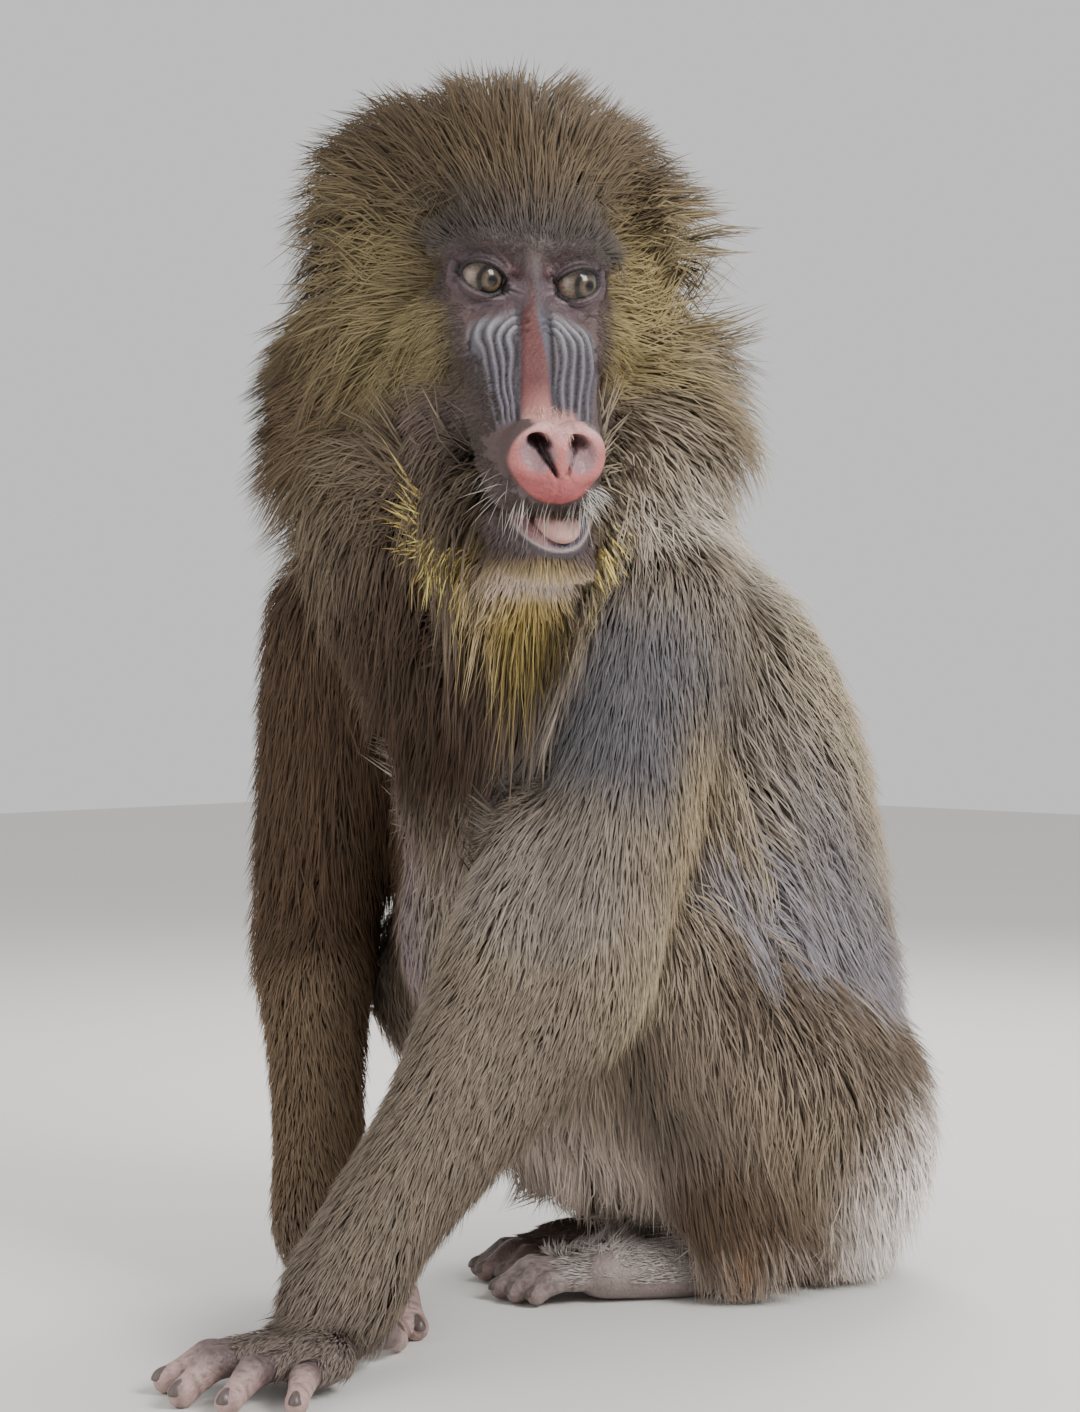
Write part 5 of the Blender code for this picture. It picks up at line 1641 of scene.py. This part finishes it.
# Colours of the eye from the middle of the pupil, 0, to a right angle from it, 1
irisStops = (
    (0.0, (8, 6, 5)), (0.11, (9, 7, 6)), (0.135, (44, 35, 27)), (0.20, (88, 76, 60)), (0.30, (68, 58, 46)),
    (0.345, (22, 16, 14)), (0.43, (30, 22, 18)), (0.50, (96, 82, 72)), (0.68, (130, 114, 101)),
    (1.0, (96, 74, 68)),
)


def makeEyeMaterial():
    made, tree, shader = newMaterial("Eye", {
        "Roughness": 0.2, "Specular IOR Level": 0.25, "Coat Weight": 0.45, "Coat Roughness": 0.03,
    })
    iris = addNode(tree, "ShaderNodeAttribute", attribute_name="iris")
    parts = addNode(tree, "ShaderNodeSeparateXYZ")
    share = addNode(tree, "ShaderNodeMath", {1: 90.0}, operation="DIVIDE")
    rings = addNode(tree, "ShaderNodeValToRGB")
    stops = rings.color_ramp.elements
    for place, colour in irisStops[1:-1]:
        stops.new(place)
    for stop, (place, colour) in zip(stops, irisStops):
        stop.position = place
        stop.color = (*srgb(*colour), 1)
    # fibres that run out from the pupil
    around = addNode(tree, "ShaderNodeCombineXYZ")
    fibres = addNode(tree, "ShaderNodeTexNoise", {"Scale": 9, "Detail": 4})
    wire(
        tree, (iris, "Vector", parts, 0), (parts, "X", share, 0), (share, 0, rings, "Fac"),
        (parts, "Y", around, "X"), (parts, "Z", around, "Y"), (share, 0, around, "Z"),
        (around, 0, fibres, "Vector"),
    )
    shade = addRange(tree, fibres, "Fac", (0.3, 0.7), (0.6, 1.35))
    scaled = scaledColour(tree, rings, "Color", shade, "Result")
    # the lids' painted shadow darkens the eye's colour
    under = addNode(tree, "ShaderNodeAttribute", attribute_name="shade")
    wire(tree, (scaledColour(tree, scaled, 0, under, "Fac"), 0, shader, "Base Color"))
    return made


def mottledMaterial(name, colour, mottling, grain, bump, values):
    # one mottled colour; where there is a grain, the bump gives its strength and depth
    made, tree, shader = newMaterial(name, values)
    tone = useGroup(tree, mottle, Colour=(*srgb(*colour), 1), **mottling)
    wire(tree, (tone, "Colour", shader, "Base Color"))
    if grain:
        addBump(tree, useGroup(tree, pores, **grain), "Height", shader, *bump)
    return made


print("materials")
skin.data.materials.clear()
tongueMaterial = mottledMaterial(
    "Tongue", (206, 160, 150), {"Scale": 420.0, "Amount": 0.5},
    {"Scale": 1600.0, "Creases": 1.5}, (0.5, 0.0006),
    {"Roughness": 0.34, "Subsurface Weight": 0.1, "Subsurface Radius": (0.004, 0.0012, 0.0008)},
)
nailMaterial = mottledMaterial(
    "Nail", (88, 76, 72), {"Scale": 300.0, "Amount": 1.0},
    {"Scale": 500.0, "Creases": 0.3}, (0.3, 0.0005),
    {"Roughness": 0.36},
)
for group, material in (
    ([skin], makeSkinMaterial()), (coatObjects, makeFurMaterial()), (eyePieces, makeEyeMaterial()),
    ([tongueTip], tongueMaterial), ([nails], nailMaterial),
):
    for piece in group:
        piece.data.materials.append(material)

# Which piece stands for which solids
flesh = [
    "head", "jaw", "neck", "chest", "abdomen", "tail", "ear_left", "ear_right",
    "upper_arm_left", "upper_arm_right", "forearm_left", "forearm_right", "hand_left", "hand_right",
    "thigh_left", "thigh_right", "shin_left", "shin_right", "foot_left", "foot_right",
]
for piece in [skin, *coatObjects, *eyePieces, tongueTip, nails]:
    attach(piece, "root")
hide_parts(*flesh)
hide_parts("eye_left")
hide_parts("eye_right")
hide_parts("tongue")


studio = {
    "floor": (222, 219, 214), "sky": 0.78,
    "lights": (
        ("keyLight", (1100, -900, 1250), (0, 0, 300), 700, 32),
        ("fillLight", (-1200, -900, 500), (0, 0, 200), 1400, 9),
        ("backLight", (300, 1200, 1300), (0, 40, 350), 900, 22),
    ),
    "camera": ((0, -1500, 334), (0, 0, 306)), "sensor": 36, "lens": 3000 / 1412 * 36,
}


def makeFloor():
    shape = bmesh.new()
    bmesh.ops.create_grid(shape, x_segments=2, y_segments=2, size=4)
    floor = fromBmesh("floor", shape)
    mottling = {"Scale": 3.0, "Amount": 0.05}
    floor.data.materials.append(
        mottledMaterial("Pale floor", studio["floor"], mottling, None, None, {"Roughness": 0.8})
    )
    return floor


makeFloor()


def aimed(obj, place, target):
    obj.location = place
    obj.rotation_euler = (target - place).to_track_quat("-Z", "Y").to_euler()
    bpy.context.scene.collection.objects.link(obj)
    return obj


def makeLights():
    for name, place, target, size, power in studio["lights"]:
        light = bpy.data.lights.new(name, "AREA")
        light.size = size * mm
        light.energy = power
        aimed(bpy.data.objects.new(name, light), at(*place), at(*target))
    world = bpy.data.worlds.new("studio")
    world.use_nodes = True
    world.node_tree.nodes["Background"].inputs["Color"].default_value = (studio["sky"],) * 3 + (1,)
    bpy.context.scene.world = world


makeLights()
lens = bpy.data.cameras.new("camera")
lens.sensor_width = studio["sensor"]
lens.lens = studio["lens"]
camera = aimed(bpy.data.objects.new("camera", lens), *[at(*place) for place in studio["camera"]])
bpy.context.scene.camera = camera
